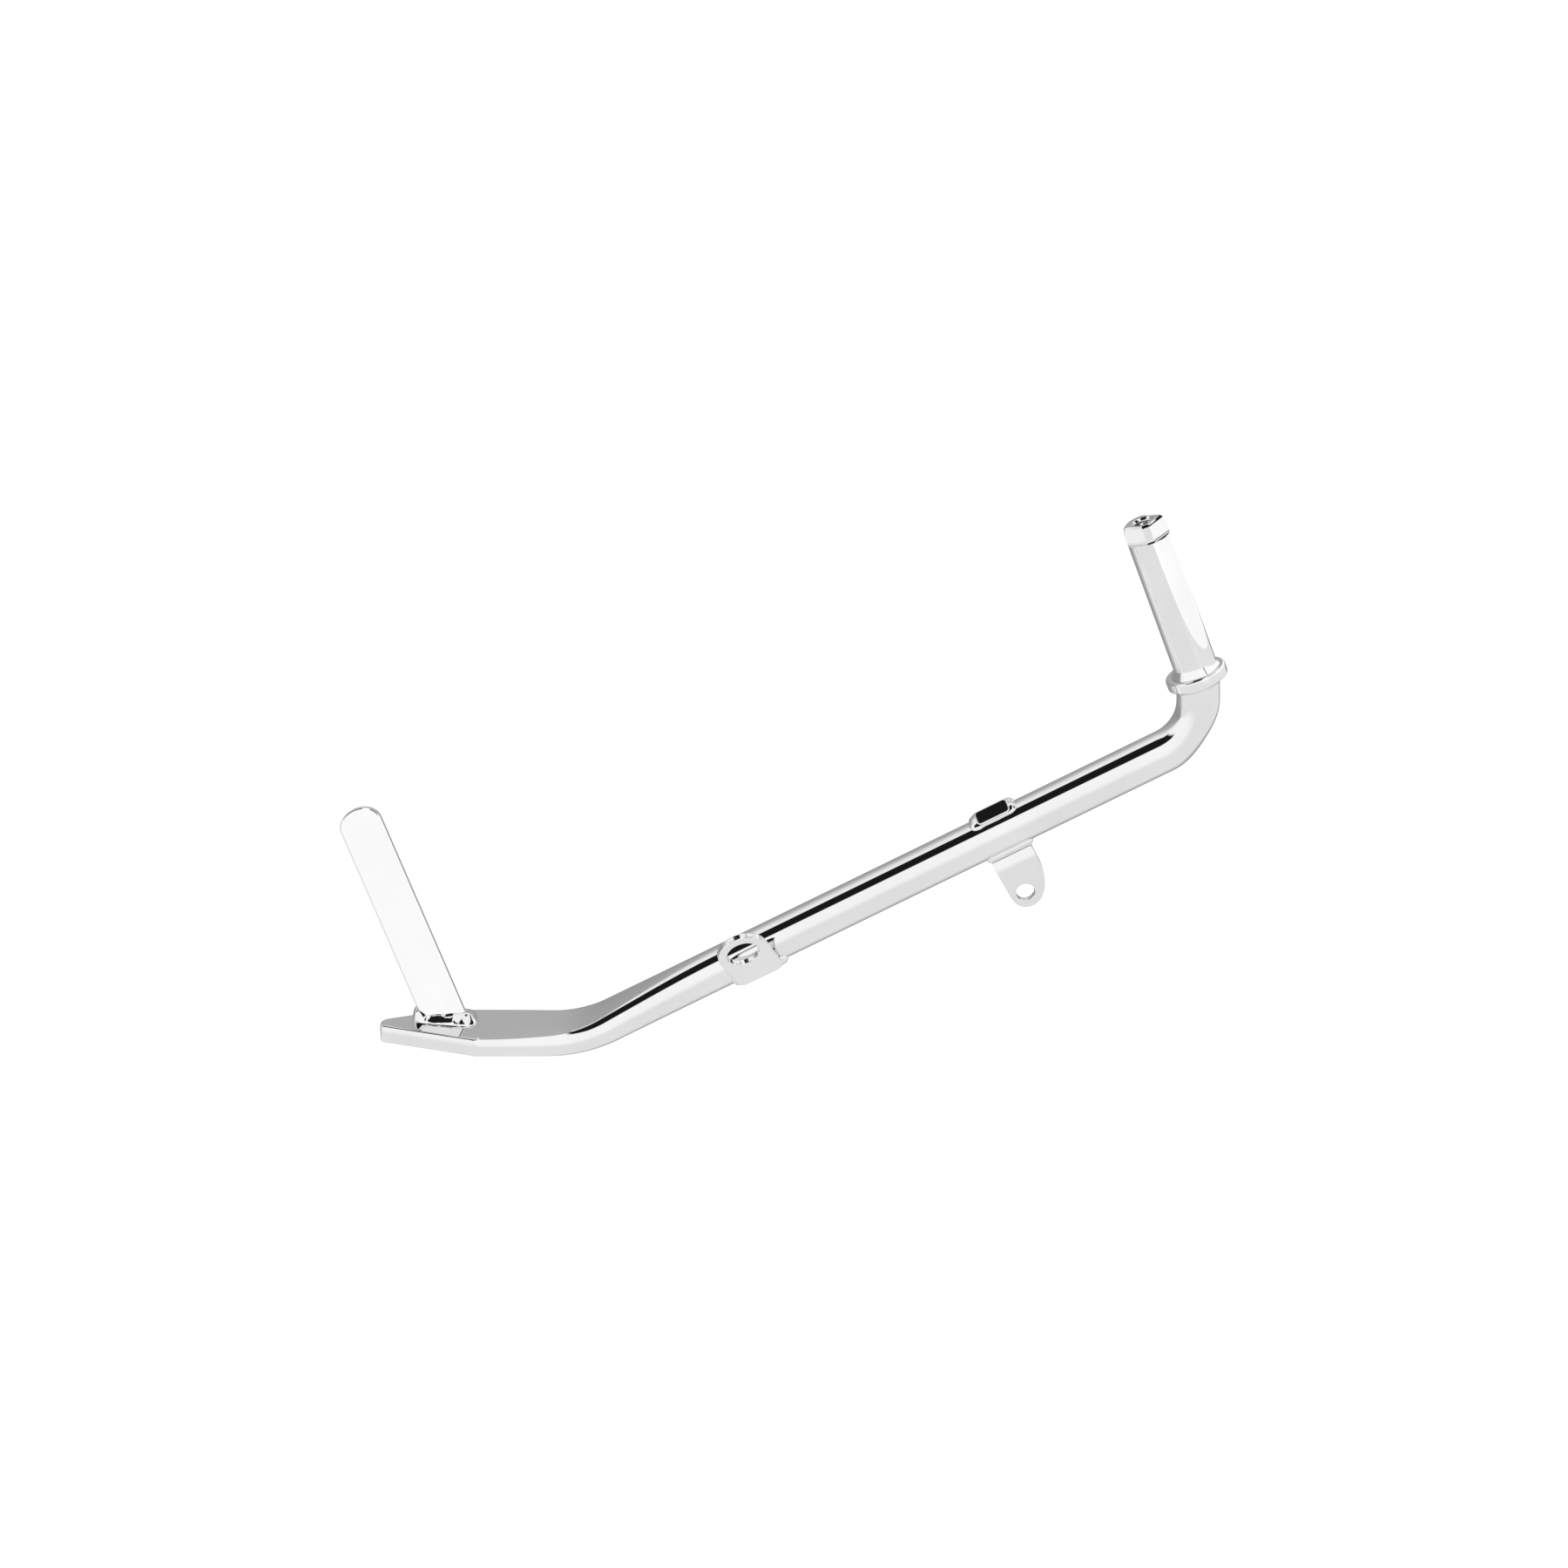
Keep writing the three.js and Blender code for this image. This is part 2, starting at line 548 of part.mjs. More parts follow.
function kickStrapWeld() {
  const halfLength = STRAP_WIDTH / 2 / Math.cos(STRAP_LEAN);
  const halfThick = STRAP_THICKNESS / 2 / Math.cos(STRAP_LEAN_BACK);
  const place = (point, away) => ({
    root: new THREE.Vector3(point.x, point.y, GAP),
    out: new THREE.Vector3(away.x, away.y, 0),
    up: new THREE.Vector3(0, 0, 1),
    wide: STRAP_WELD_LEG + STRAP_WELD_FLARE * away.x * away.x,
    high: STRAP_WELD_LEG,
  });
  const path = roundedRectangle(-halfLength, halfLength, -halfThick, halfThick, BEAD_CORNER);
  const body = bead(path, true, place, [strapBody(GAP, 0), belowStrap()]);
  const weld = mesh('kick_strap_weld', body, weldChrome);
  weld.position.set(STRAP_X, STRAP_Y, FOOT_TOP_Z);
  return weld;
}

// The bracket's plate, grown by `grow`, in a frame that leans with it.
function bracketBody(grow, edge) {
  const half = BRACKET_HALF_WIDTH + grow;
  const outline = new THREE.Shape();
  const left = new THREE.Vector2(-half, -BRACKET_SKIRT - grow);
  const right = new THREE.Vector2(half, -BRACKET_SKIRT - grow);
  const top = new THREE.Vector2(half, BRACKET_HOLE_HEIGHT);
  outline.moveTo(-half, BRACKET_HOLE_HEIGHT);
  roundedCorner(outline, new THREE.Vector2(-half, BRACKET_HOLE_HEIGHT), left, right, BRACKET_CORNER);
  roundedCorner(outline, left, right, top, BRACKET_CORNER);
  outline.lineTo(top.x, top.y);
  outline.absarc(0, BRACKET_HOLE_HEIGHT, half, 0, Math.PI, false);
  outline.closePath();
  const back = -BAR_RADIUS - GAP + grow;
  const body = plate(outline, back - BRACKET_THICKNESS - 2 * grow, back, edge);
  body.translate(BRACKET_ALONG, 0, 0);
  return body;
}

function bumperBracket() {
  const hole = drill(BRACKET_HOLE_RADIUS, BRACKET_ALONG, BRACKET_HOLE_HEIGHT);
  const body = solid(bracketBody(0, BRACKET_EDGE)).subtract(solid(hole));
  const bracket = mesh('bumper_bracket', body, chrome);
  bracket.rotation.x = BRACKET_TILT;
  return bracket;
}

// The bead runs down one side of the plate's skirt, under it and up the other side.
function bumperBracketWeld() {
  const half = BRACKET_HALF_WIDTH;
  const bottom = -BAR_RADIUS * (BRACKET_TILT + Math.asin(BRACKET_SKIRT / BAR_RADIUS));
  const top = -BAR_RADIUS * (BRACKET_TILT - BRACKET_WELD_RISE);
  const corners = [[-half, top], [-half, bottom], [half, bottom], [half, top]]
    .map(([x, y]) => new THREE.Vector2(BRACKET_ALONG + x, y));
  const path = new THREE.Path();
  path.moveTo(corners[0].x, corners[0].y);
  roundedCorner(path, corners[0], corners[1], corners[2], BRACKET_CORNER / 2);
  roundedCorner(path, corners[1], corners[2], corners[3], BRACKET_CORNER / 2);
  path.lineTo(corners[3].x, corners[3].y);
  const place = (point, away, part) => {
    const fromEnd = Math.min(1, part / BRACKET_WELD_TAPER, (1 - part) / BRACKET_WELD_TAPER);
    const high = BRACKET_WELD_LEG * Math.max(BRACKET_WELD_TIP, Math.sqrt(fromEnd));
    const swollen = THREE.MathUtils.smoothstep(part, BRACKET_WELD_HEAVY_FROM, BRACKET_WELD_HEAVY_BY);
    const wide = high * THREE.MathUtils.lerp(1, BRACKET_WELD_HEAVY, swollen);
    return onBar(point, away, wide, high);
  };
  const grown = bracketBody(GAP, 0);
  grown.rotateX(BRACKET_TILT);
  const bar = barCutter(BRACKET_ALONG - REACH, BRACKET_ALONG + REACH);
  return mesh('bumper_bracket_weld', bead(path, false, place, [bar, solid(grown)]), weldChrome);
}

// The tab's side view, grown by `grow`: a short leg out from under the bar, a bend and the hanging
// leg. Distances are outboard from the bar's axis and up.
function tabProfile(grow) {
  const rootUp = -Math.sqrt(BAR_RADIUS ** 2 - TAB_ROOT_OUT ** 2);
  const short = new THREE.Vector2(Math.cos(TAB_ROOT_SLOPE), -Math.sin(TAB_ROOT_SLOPE));
  const hang = new THREE.Vector2(-Math.sin(TAB_LEAN), -Math.cos(TAB_LEAN));
  const shortFace = new THREE.Vector2(-short.y, short.x);
  const hangFace = new THREE.Vector2(-hang.y, hang.x);
  const root = new THREE.Vector2(TAB_ROOT_OUT, rootUp);
  const reach = (TAB_FACE_OUT - root.dot(hangFace)) / short.dot(hangFace);
  const corner = root.clone().addScaledVector(short, reach);
  const turn = short.angleTo(hang);
  const tangent = TAB_BEND_RADIUS * Math.tan(turn / 2);
  const hub = corner.clone().addScaledVector(short, -tangent).addScaledVector(shortFace, -TAB_BEND_RADIUS);
  const side = (out) => {
    const radius = TAB_BEND_RADIUS + out;
    const points = [];
    for (let i = 0; i <= TAB_BEND_STEPS; i++) {
      const angle = shortFace.angle() - (turn * i) / TAB_BEND_STEPS;
      points.push(new THREE.Vector2(Math.cos(angle), Math.sin(angle)).multiplyScalar(radius).add(hub));
    }
    const start = points[0].clone().addScaledVector(short, -TAB_ROOT_OVERRUN);
    const end = points.at(-1).clone().addScaledVector(hang, TAB_DROP);
    return [start, ...points, end];
  };
  const face = side(grow);
  const back = side(-TAB_THICKNESS - grow).reverse();
  return new THREE.Shape([...face, ...back].map((p) => new THREE.Vector2(-p.x, p.y)));
}

// The tab's face view: straight sides, and a rounded end that is fuller towards the pivot.
function tabOutline() {
  const outline = new THREE.Shape();
  const { from, pull, endPull } = TAB_LEFT_TURN;
  const right = TAB_RIGHT_TURN;
  outline.moveTo(TAB_LEFT, REACH);
  outline.lineTo(TAB_LEFT, -from);
  outline.bezierCurveTo(
    TAB_LEFT, -from - pull, TAB_HOLE_ALONG - endPull, -TAB_DROP, TAB_HOLE_ALONG, -TAB_DROP);
  outline.bezierCurveTo(TAB_HOLE_ALONG + right.endPull, -TAB_DROP,
    TAB_RIGHT, -right.from - right.pull, TAB_RIGHT, -right.from);
  outline.lineTo(TAB_RIGHT, REACH);
  outline.closePath();
  return outline;
}

// The tab's side view drawn out along the bar, from x0 to x1.
function tabStrip(grow, x0, x1) {
  const strip = new THREE.ExtrudeGeometry(tabProfile(grow), { depth: x1 - x0, bevelEnabled: false });
  strip.applyMatrix4(new THREE.Matrix4().makeBasis(
    new THREE.Vector3(0, 1, 0), new THREE.Vector3(0, 0, 1), new THREE.Vector3(1, 0, 0)));
  strip.translate(x0, 0, 0);
  return solid(strip);
}

function springTab() {
  const outline = plate(tabOutline(), -REACH, REACH);
  outline.rotateX(TAB_LEAN);
  const hole = drill(TAB_HOLE_RADIUS, TAB_HOLE_ALONG, -TAB_HOLE_DROP);
  hole.rotateX(TAB_LEAN);
  const bar = barCutter(TAB_LEFT - REACH, TAB_RIGHT + REACH);
  const tab = tabStrip(0, TAB_LEFT - OVERCUT, TAB_RIGHT + OVERCUT)
    .intersect(solid(outline)).subtract(bar).subtract(solid(hole));
  return mesh('spring_tab', largestBody(tab), chrome);
}

// The bead runs all round the tab's root, on the underside of the bar.
function springTabWeld() {
  const frontTurn = -Math.PI / 2 + Math.asin(TAB_ROOT_OUT / BAR_RADIUS);
  const across = TAB_THICKNESS / Math.cos(TAB_ROOT_SLOPE / 2) / BAR_RADIUS;
  const backTurn = frontTurn - across - TAB_WELD_BACK;
  const path = roundedRectangle(
    TAB_LEFT, TAB_RIGHT, backTurn * BAR_RADIUS, frontTurn * BAR_RADIUS, BEAD_CORNER);
  const place = (point, away) => onBar(point, away, TAB_WELD_LEG, TAB_WELD_LEG);
  const bar = barCutter(TAB_LEFT - REACH, TAB_RIGHT + REACH);
  const tab = tabStrip(GAP, TAB_LEFT - GAP, TAB_RIGHT + GAP);
  return mesh('spring_tab_weld', bead(path, true, place, [bar, tab]), weldChrome);
}

// The lug, grown by `grow`, in a frame whose -Y looks out of its flat face.
function lugBody(grow, edge) {
  const half = LUG_LENGTH / 2 + grow;
  const outline = roundedRectangle(-half, half,
    LUG_NEAR_EDGE - grow, LUG_NEAR_EDGE + LUG_WIDTH + grow, LUG_CORNER);
  const body = plate(outline, -BAR_RADIUS - LUG_HEIGHT - grow, -BAR_RADIUS / 2, edge);
  body.translate(LUG_ALONG, 0, 0);
  return body;
}

function stopLug() {
  const bar = barCutter(LUG_ALONG - REACH, LUG_ALONG + REACH);
  const lug = mesh('stop_lug', largestBody(solid(lugBody(0, LUG_EDGE)).subtract(bar)), chrome);
  lug.rotation.x = -LUG_TILT;
  return lug;
}

// The bead runs all round the lug. It is low under the flat face and full behind it.
function stopLugWeld() {
  const nearTurn = LUG_TILT + Math.asin(LUG_NEAR_EDGE / BAR_RADIUS);
  const farTurn = LUG_TILT + Math.asin((LUG_NEAR_EDGE + LUG_WIDTH) / BAR_RADIUS);
  const half = LUG_LENGTH / 2;
  const path = roundedRectangle(LUG_ALONG - half, LUG_ALONG + half,
    nearTurn * BAR_RADIUS, farTurn * BAR_RADIUS, LUG_CORNER);
  const place = (point, away) => {
    const inward = THREE.MathUtils.inverseLerp(nearTurn, farTurn, point.y / BAR_RADIUS);
    const high = THREE.MathUtils.lerp(LUG_WELD_NEAR_HEIGHT, LUG_WELD_FAR_HEIGHT, inward);
    const side = THREE.MathUtils.lerp(LUG_WELD_NEAR_WIDTH, LUG_WELD_FAR_WIDTH, inward);
    const wide = THREE.MathUtils.lerp(side, LUG_WELD_LENGTH, away.x * away.x);
    return onBar(point, away, wide, high);
  };
  const grown = lugBody(GAP, 0);
  grown.rotateX(-LUG_TILT);
  const bar = barCutter(LUG_ALONG - REACH, LUG_ALONG + REACH);
  return mesh('stop_lug_weld', bead(path, true, place, [bar, solid(grown)]), weldChrome);
}

// The pieces on the straight bar are placed in a frame along it, from the foot's corner point.
const barFrame = new THREE.Group();
barFrame.position.set(FOOT_CORNER_X, 0, FOOT_CORNER_Z);
barFrame.rotation.y = -BAR_RISE;
barFrame.add(bumperBracket(), bumperBracketWeld(), springTab(), springTabWeld(), stopLug(), stopLugWeld());

// The pieces on the spindle's axis are placed in a frame along it, from the collar's top face.
const spindleFrame = new THREE.Group();
spindleFrame.rotation.y = -SPINDLE_LEAN;
spindleFrame.add(pivotSpindle(), pivotCollar(), collarUpperWeld(), collarLowerWeld());

const kickstand = new THREE.Group();
kickstand.name = 'kickstand';
kickstand.add(legBar(), spindleFrame, kickStrap(), kickStrapWeld(), barFrame);

export default kickstand;
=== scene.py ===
import math

import bpy
from mathutils import Matrix, Vector, noise


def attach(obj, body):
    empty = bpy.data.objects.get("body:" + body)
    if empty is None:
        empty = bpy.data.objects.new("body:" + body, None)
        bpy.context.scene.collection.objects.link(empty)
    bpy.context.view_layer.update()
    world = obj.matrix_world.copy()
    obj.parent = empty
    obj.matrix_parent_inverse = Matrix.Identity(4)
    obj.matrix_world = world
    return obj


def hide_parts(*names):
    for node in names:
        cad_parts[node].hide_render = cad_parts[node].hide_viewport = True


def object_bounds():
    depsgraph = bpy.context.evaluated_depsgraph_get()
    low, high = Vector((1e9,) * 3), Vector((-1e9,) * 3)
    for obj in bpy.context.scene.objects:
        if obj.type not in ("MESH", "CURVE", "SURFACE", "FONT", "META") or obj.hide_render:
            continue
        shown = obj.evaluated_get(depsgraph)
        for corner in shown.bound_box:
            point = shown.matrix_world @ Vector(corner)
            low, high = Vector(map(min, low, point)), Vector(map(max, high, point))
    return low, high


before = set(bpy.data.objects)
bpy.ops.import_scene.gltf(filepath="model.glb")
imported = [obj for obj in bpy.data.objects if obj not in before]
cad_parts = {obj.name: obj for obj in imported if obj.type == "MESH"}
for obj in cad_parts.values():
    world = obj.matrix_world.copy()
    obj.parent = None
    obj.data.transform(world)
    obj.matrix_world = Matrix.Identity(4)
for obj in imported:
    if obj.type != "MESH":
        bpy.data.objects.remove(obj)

CAD_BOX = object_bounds()
MM = 0.001

# Dimensions in millimetres, as the solids were drawn, with some edges rounder. The origin is on the
# spindle's axis at the top face of its collar; +Z is up with the sole level, -X leads to the foot and
# -Y is outboard.
BAR_RADIUS = 19.05 / 2
BAR_RISE = math.radians(28)
BAR_LENGTH = 309.4
TOP_CORNER = (2.1, -30.2)
TOP_BEND_RADIUS = 26
TOP_BEND_THINNING = 1.5
STUB_LEAN = math.radians(2.7)
FOOT_BEND_RADIUS = 60

FOOT_HALF_HEIGHT = 4.25
FOOT_FLAT_HALF = 15.8
FOOT_SIDE_BULGE = 1.2
FOOT_LENGTH = 92.7
ROUND_FROM = 75
FLAT_UNTIL = 45
TOE_FRONT_CUT = 47
TOE_BACK_CUT = 63.3
TOE_FRONT_Y = -1.4
TOE_BACK_Y = 6.2
TOE_FRONT_CORNER = 2
TOE_BACK_CORNER = 4
TOE_MIDDLE_Y = 1.4
TOE_MIDDLE_LENGTH = 20
SHEAR_EDGE = 1.0
SHEAR_BULGE = 0.35

SPINDLE_LEAN = math.radians(21.15)
SPINDLE_RADIUS = 19.05 / 2
SPINDLE_LENGTH = 72.5
DRIVE_LENGTH = 8.1
DRIVE_FLATS = ((-132, 6.6), (-90, 7.7), (-45, 6.8), (45, 6.6))
TIP_TAPER_LENGTH = 4
TIP_EDGE = 0.6
TIP_RADIUS = 8.9
TIP_CHAMFER = 1.0
FLAT_FILLET = 0.9
TAPPED_HOLE_RADIUS = 4
TAPPED_HOLE_DEPTH = 24
COUNTERSINK_RADIUS = 4.9
THREAD_PITCH = 25.4 / 16
THREAD_DEPTH = 0.75
THREAD_CREST = 0.15
THREAD_FADE = 0.6

COLLAR_RADIUS = 13.6
COLLAR_THICKNESS = 5.2
COLLAR_OFFSET = -0.9
COLLAR_EDGE = 1.1

STRAP_WIDTH = 19.5
STRAP_THICKNESS = 6.35
STRAP_LENGTH = 104.2
STRAP_END_RISE = 8
STRAP_LEAN = math.radians(22.95)
STRAP_LEAN_BACK = math.radians(17)
STRAP_X = -334.6
STRAP_Y = 6.9
STRAP_EDGE = 1.3

BRACKET_ALONG = 87.2
BRACKET_TILT = math.radians(31)
BRACKET_HALF_WIDTH = 11.4
BRACKET_THICKNESS = 3.2
BRACKET_HOLE_RADIUS = 7.3
BRACKET_HOLE_HEIGHT = 17.6
BRACKET_SKIRT = 3.8
BRACKET_CORNER = 4
BRACKET_EDGE = 0.55

TAB_LEFT = 202.3
TAB_RIGHT = 221.7
TAB_THICKNESS = 3.2
TAB_HOLE_ALONG = 209.3
TAB_HOLE_RADIUS = 4.2
TAB_HOLE_DROP = 29
TAB_DROP = 37
# where each side turns into the rounded end, and how hard the curve is drawn at its two ends
TAB_LEFT_TURN = (28, 6, 4)
TAB_RIGHT_TURN = (17, 10, 7)
TAB_LEAN = math.radians(8.3)
TAB_ROOT_SLOPE = math.radians(45)
TAB_ROOT_OUT = 3.2
TAB_FACE_OUT = 9.16
TAB_BEND_RADIUS = 9
TAB_EDGE = 0.4

LUG_ALONG = 213.2
LUG_TILT = math.radians(53.5)
LUG_LENGTH = 16
LUG_WIDTH = 7.3
LUG_NEAR_EDGE = 0.3
LUG_HEIGHT = 1.5
LUG_CORNER = 2
LUG_EDGE = 0.6

GAP = 0.3
TINY = 1e-9

# How far the strap's tip and the bar's surface stay inside the solids
STRAP_INSET = 0.03
BAR_INSET = 0.036

FOOT_CORNER_X = TOP_CORNER[0] - BAR_LENGTH * math.cos(BAR_RISE)
FOOT_CORNER_Z = TOP_CORNER[1] - BAR_LENGTH * math.sin(BAR_RISE)
FOOT_TOP_Z = FOOT_CORNER_Z + FOOT_HALF_HEIGHT
FOOT_HALF_WIDTH = FOOT_FLAT_HALF + FOOT_SIDE_BULGE
TOE_X = FOOT_CORNER_X - FOOT_LENGTH
COLLAR_SEAT = -COLLAR_THICKNESS - GAP
FLATS_FROM = SPINDLE_LENGTH - DRIVE_LENGTH
THREADS_FROM = SPINDLE_LENGTH - TAPPED_HOLE_DEPTH + 1
THREADS_TO = SPINDLE_LENGTH - 1.1

# Frames of the two leaning assemblies, and of the strap
BAR_FRAME = Matrix.Translation((FOOT_CORNER_X, 0, FOOT_CORNER_Z)) @ Matrix.Rotation(-BAR_RISE, 4, "Y")
SPINDLE_FRAME = Matrix.Rotation(-SPINDLE_LEAN, 4, "Y")
STRAP_FOOT = Matrix.Translation((STRAP_X, STRAP_Y, FOOT_TOP_Z))
STRAP_FRAME = STRAP_FOOT @ Matrix.Rotation(-STRAP_LEAN_BACK, 4, "X") @ Matrix.Rotation(-STRAP_LEAN, 4, "Y")


def smoothstep(x, low, high):
    t = min(1, max(0, (x - low) / (high - low)))
    return t * t * (3 - 2 * t)


def lerp(a, b, t):
    return a + (b - a) * t


# ---------------------------------------------------------------- materials

def node(tree, kind, **settings):
    """A new node with its inputs or properties set by name."""
    made = tree.nodes.new(kind)
    for name, value in settings.items():
        if name in made.inputs:
            made.inputs[name].default_value = value
        else:
            setattr(made, name, value)
    return made


def ramp(tree, source, stops):
    """Greys along a source's value, from stops of (value, grey)."""
    made = tree.nodes.new("ShaderNodeValToRGB")
    points = made.color_ramp.elements
    while len(points) < len(stops):
        points.new(0.5)
    for point, (at, grey) in zip(points, stops):
        point.position = at
        point.color = (grey, grey, grey, 1)
    tree.links.new(source, made.inputs["Fac"])
    return made.outputs["Color"]


def chrome(name, tone, shine, ripple_size, ripple_depth, lines=None):
    """Bright plate: a faint cloudiness in its grey, polish that varies, and slow waves in its
    surface. `lines` adds fine polishing lines, as (stretch, scale, depth)."""
    material = bpy.data.materials.new(name)
    material.use_nodes = True
    tree = material.node_tree
    shader = tree.nodes["Principled BSDF"]
    shader.inputs["Metallic"].default_value = 1
    place = node(tree, "ShaderNodeTexCoord").outputs["Object"]

    def cloud(scale, detail):
        made = node(tree, "ShaderNodeTexNoise", Scale=scale, Detail=detail, Roughness=0.55)
        tree.links.new(place, made.inputs["Vector"])
        return made.outputs["Fac"]

    low, high = tone
    tree.links.new(ramp(tree, cloud(38, 3), [(0.3, low), (0.7, high)]), shader.inputs["Base Color"])
    smooth, dull = shine
    tree.links.new(ramp(tree, cloud(150, 4), [(0.35, smooth), (0.75, dull)]), shader.inputs["Roughness"])
    waves = node(tree, "ShaderNodeBump", Strength=ripple_depth[0], Distance=ripple_depth[1])
    tree.links.new(cloud(ripple_size, 2), waves.inputs["Height"])
    grain = node(tree, "ShaderNodeBump", Strength=0.05, Distance=0.00002)
    tree.links.new(cloud(2600, 2), grain.inputs["Height"])
    tree.links.new(waves.outputs["Normal"], grain.inputs["Normal"])
    last = grain
    if lines:
        stretching, scale, depth = lines
        scored = node(tree, "ShaderNodeTexNoise", Scale=scale, Detail=3, Roughness=0.6)
        stretch = node(tree, "ShaderNodeMapping")
        stretch.inputs["Scale"].default_value = stretching
        tree.links.new(place, stretch.inputs["Vector"])
        tree.links.new(stretch.outputs["Vector"], scored.inputs["Vector"])
        last = node(tree, "ShaderNodeBump", Strength=0.25, Distance=depth)
        tree.links.new(scored.outputs["Fac"], last.inputs["Height"])
        tree.links.new(grain.outputs["Normal"], last.inputs["Normal"])
    tree.links.new(last.outputs["Normal"], shader.inputs["Normal"])
    return material


PLATE = (0.738, 0.778)
POLISHED_LINES = ((1, 1, 6), 160, 0.00001)
LOOKS = {
    "bar_chrome": chrome("bar_chrome", PLATE, (0.035, 0.06), 60, (0.06, 0.0002)),
    "spindle_chrome": chrome(
        "spindle_chrome", PLATE, (0.04, 0.075), 90, (0.05, 0.0002), POLISHED_LINES),
    "strap_chrome": chrome("strap_chrome", (0.79, 0.82), (0.05, 0.09), 70, (0.05, 0.0002)),
    "plate_chrome": chrome("plate_chrome", PLATE, (0.05, 0.09), 110, (0.08, 0.0002)),
    "weld_chrome": chrome("weld_chrome", (0.74, 0.79), (0.04, 0.09), 200, (0.08, 0.0003)),
}


# ---------------------------------------------------------------- mesh making

def add_piece(name, verts, faces, slot, replaced, sharp=35):
    """A shaded piece from points in millimetres, which stands for the CAD node `replaced`. Edges
    that turn by more than `sharp` degrees stay crisp."""
    data = bpy.data.meshes.new(name)
    data.from_pydata([Vector(p) * MM for p in verts], [], faces)
    data.validate()
    data.shade_smooth()
    data.set_sharp_from_angle(angle=math.radians(sharp))
    piece = bpy.data.objects.new(name, data)
    bpy.context.scene.collection.objects.link(piece)
    data.materials.append(LOOKS[slot])
    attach(piece, "root")
    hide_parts(replaced)
    return piece


def skin(rings, loop=False):
    """Points and faces of a closed surface over rings of equally many points. The rings run
    right-handed about the direction of travel."""
    count = len(rings[0])
    verts = [Vector(p) for ring in rings for p in ring]
    faces = []
    for i in range(len(rings) if loop else len(rings) - 1):
        here, there = i * count, (i + 1) % len(rings) * count
        for j in range(count):
            k = (j + 1) % count
            faces.append((here + j, here + k, there + k, there + j))
    if not loop:
        faces.append(tuple(reversed(range(count))))
        faces.append(tuple(range((len(rings) - 1) * count, len(rings) * count)))
    return verts, faces


def arc(centre, radius, start, end, steps):
    """Points on an arc in degrees, both ends included."""
    turns = [math.radians(lerp(start, end, i / steps)) for i in range(steps + 1)]
    return [(centre[0] + radius * math.cos(t), centre[1] + radius * math.sin(t)) for t in turns]


# ---------------------------------------------------------------- leg bar

SECTION_POINTS = 160
FLAT_FACE_FROM = math.radians(72)
# a sheared side is straight up to this share of the way to the flat face, then rounded
SHEAR_STRAIGHT = 0.6
# further out than any part of the foot, for a side with no shear
UNCUT = 99
# stations down the leg
TOE_ROUNDING_LENGTH = 5
TOE_STEPS = 16
FOOT_STEPS = 90
FOOT_BEND_STEPS = 40
STRAIGHT_STEPS = 120
TOP_BEND_STEPS = 72


def toe_side(corner_radius, toe_y, far_x, far_y, x):
    """The sheared side's Y at X, where the straight cut meets the blunt toe in a rounded corner."""
    toe, far = Vector((TOE_X, toe_y)), Vector((far_x, far_y))
    start = toe + (far - toe).normalized() * corner_radius
    end = toe + Vector((0, -math.copysign(corner_radius, far_y)))
    if x >= start.x:
        return lerp(toe_y, far_y, (x - TOE_X) / (far_x - TOE_X))
    low, high = 0.0, 1.0
    for _ in range(30):
        t = (low + high) / 2
        at = start * (1 - t) ** 2 + toe * (2 * t * (1 - t)) + end * t ** 2
        low, high = (t, high) if at.x > x else (low, t)
    return at.y


def sheared_side(limit, half_height, rise):
    """A point of the section's sheared side, whose rise runs from 0 at mid height to 1."""
    if rise > SHEAR_STRAIGHT:
        bend = (rise - SHEAR_STRAIGHT) / (1 - SHEAR_STRAIGHT) * math.pi / 2
        x = limit - SHEAR_BULGE - SHEAR_EDGE + SHEAR_EDGE * math.cos(bend)
        y = half_height - SHEAR_EDGE + SHEAR_EDGE * math.sin(bend)
    else:
        x = limit - SHEAR_BULGE * (rise / SHEAR_STRAIGHT) ** 2
        y = (half_height - SHEAR_EDGE) * rise / SHEAR_STRAIGHT
    return x, y


def flat_quarter(limit, half_height, lift):
    """The flat foot's section in one quarter, `lift` radians up from its side."""
    if lift > FLAT_FACE_FROM:
        reach = min(FOOT_FLAT_HALF, limit - SHEAR_EDGE - SHEAR_BULGE)
        return reach * (math.pi / 2 - lift) / (math.pi / 2 - FLAT_FACE_FROM), half_height
    rise = lift / FLAT_FACE_FROM
    x = FOOT_FLAT_HALF + FOOT_SIDE_BULGE * (1 - rise * rise)
    y = half_height * rise
    if limit < FOOT_HALF_WIDTH:
        cut_x, cut_y = sheared_side(limit, half_height, rise)
        share = min(1, (FOOT_HALF_WIDTH - limit) / FOOT_SIDE_BULGE)
        x = lerp(min(x, limit), cut_x, share)
        y = lerp(y, cut_y, share)
    return x, y


def leg_section(stage, front, back, middle, half_height):
    """The leg's section from round bar (stage 0) to flat foot (stage 1), as (across, up) points.
    `front` and `back` are where the shears cut it, and `middle` is a place between them."""
    points = []
    for i in range(SECTION_POINTS):
        turn = 2 * math.pi * i / SECTION_POINTS
        across, up = math.cos(turn), math.sin(turn)
        limit = (back - middle) if across >= 0 else (middle - front)
        limit = max(limit, SHEAR_EDGE + SHEAR_BULGE)
        x, y = flat_quarter(limit, half_height, math.asin(min(1, abs(up))))
        flat_x = middle + (0 if abs(across) < TINY else math.copysign(x, across))
        flat_y = 0 if abs(up) < TINY else math.copysign(y, up)
        points.append((lerp(across * BAR_RADIUS, flat_x, stage), lerp(up * BAR_RADIUS, flat_y, stage)))
    return points


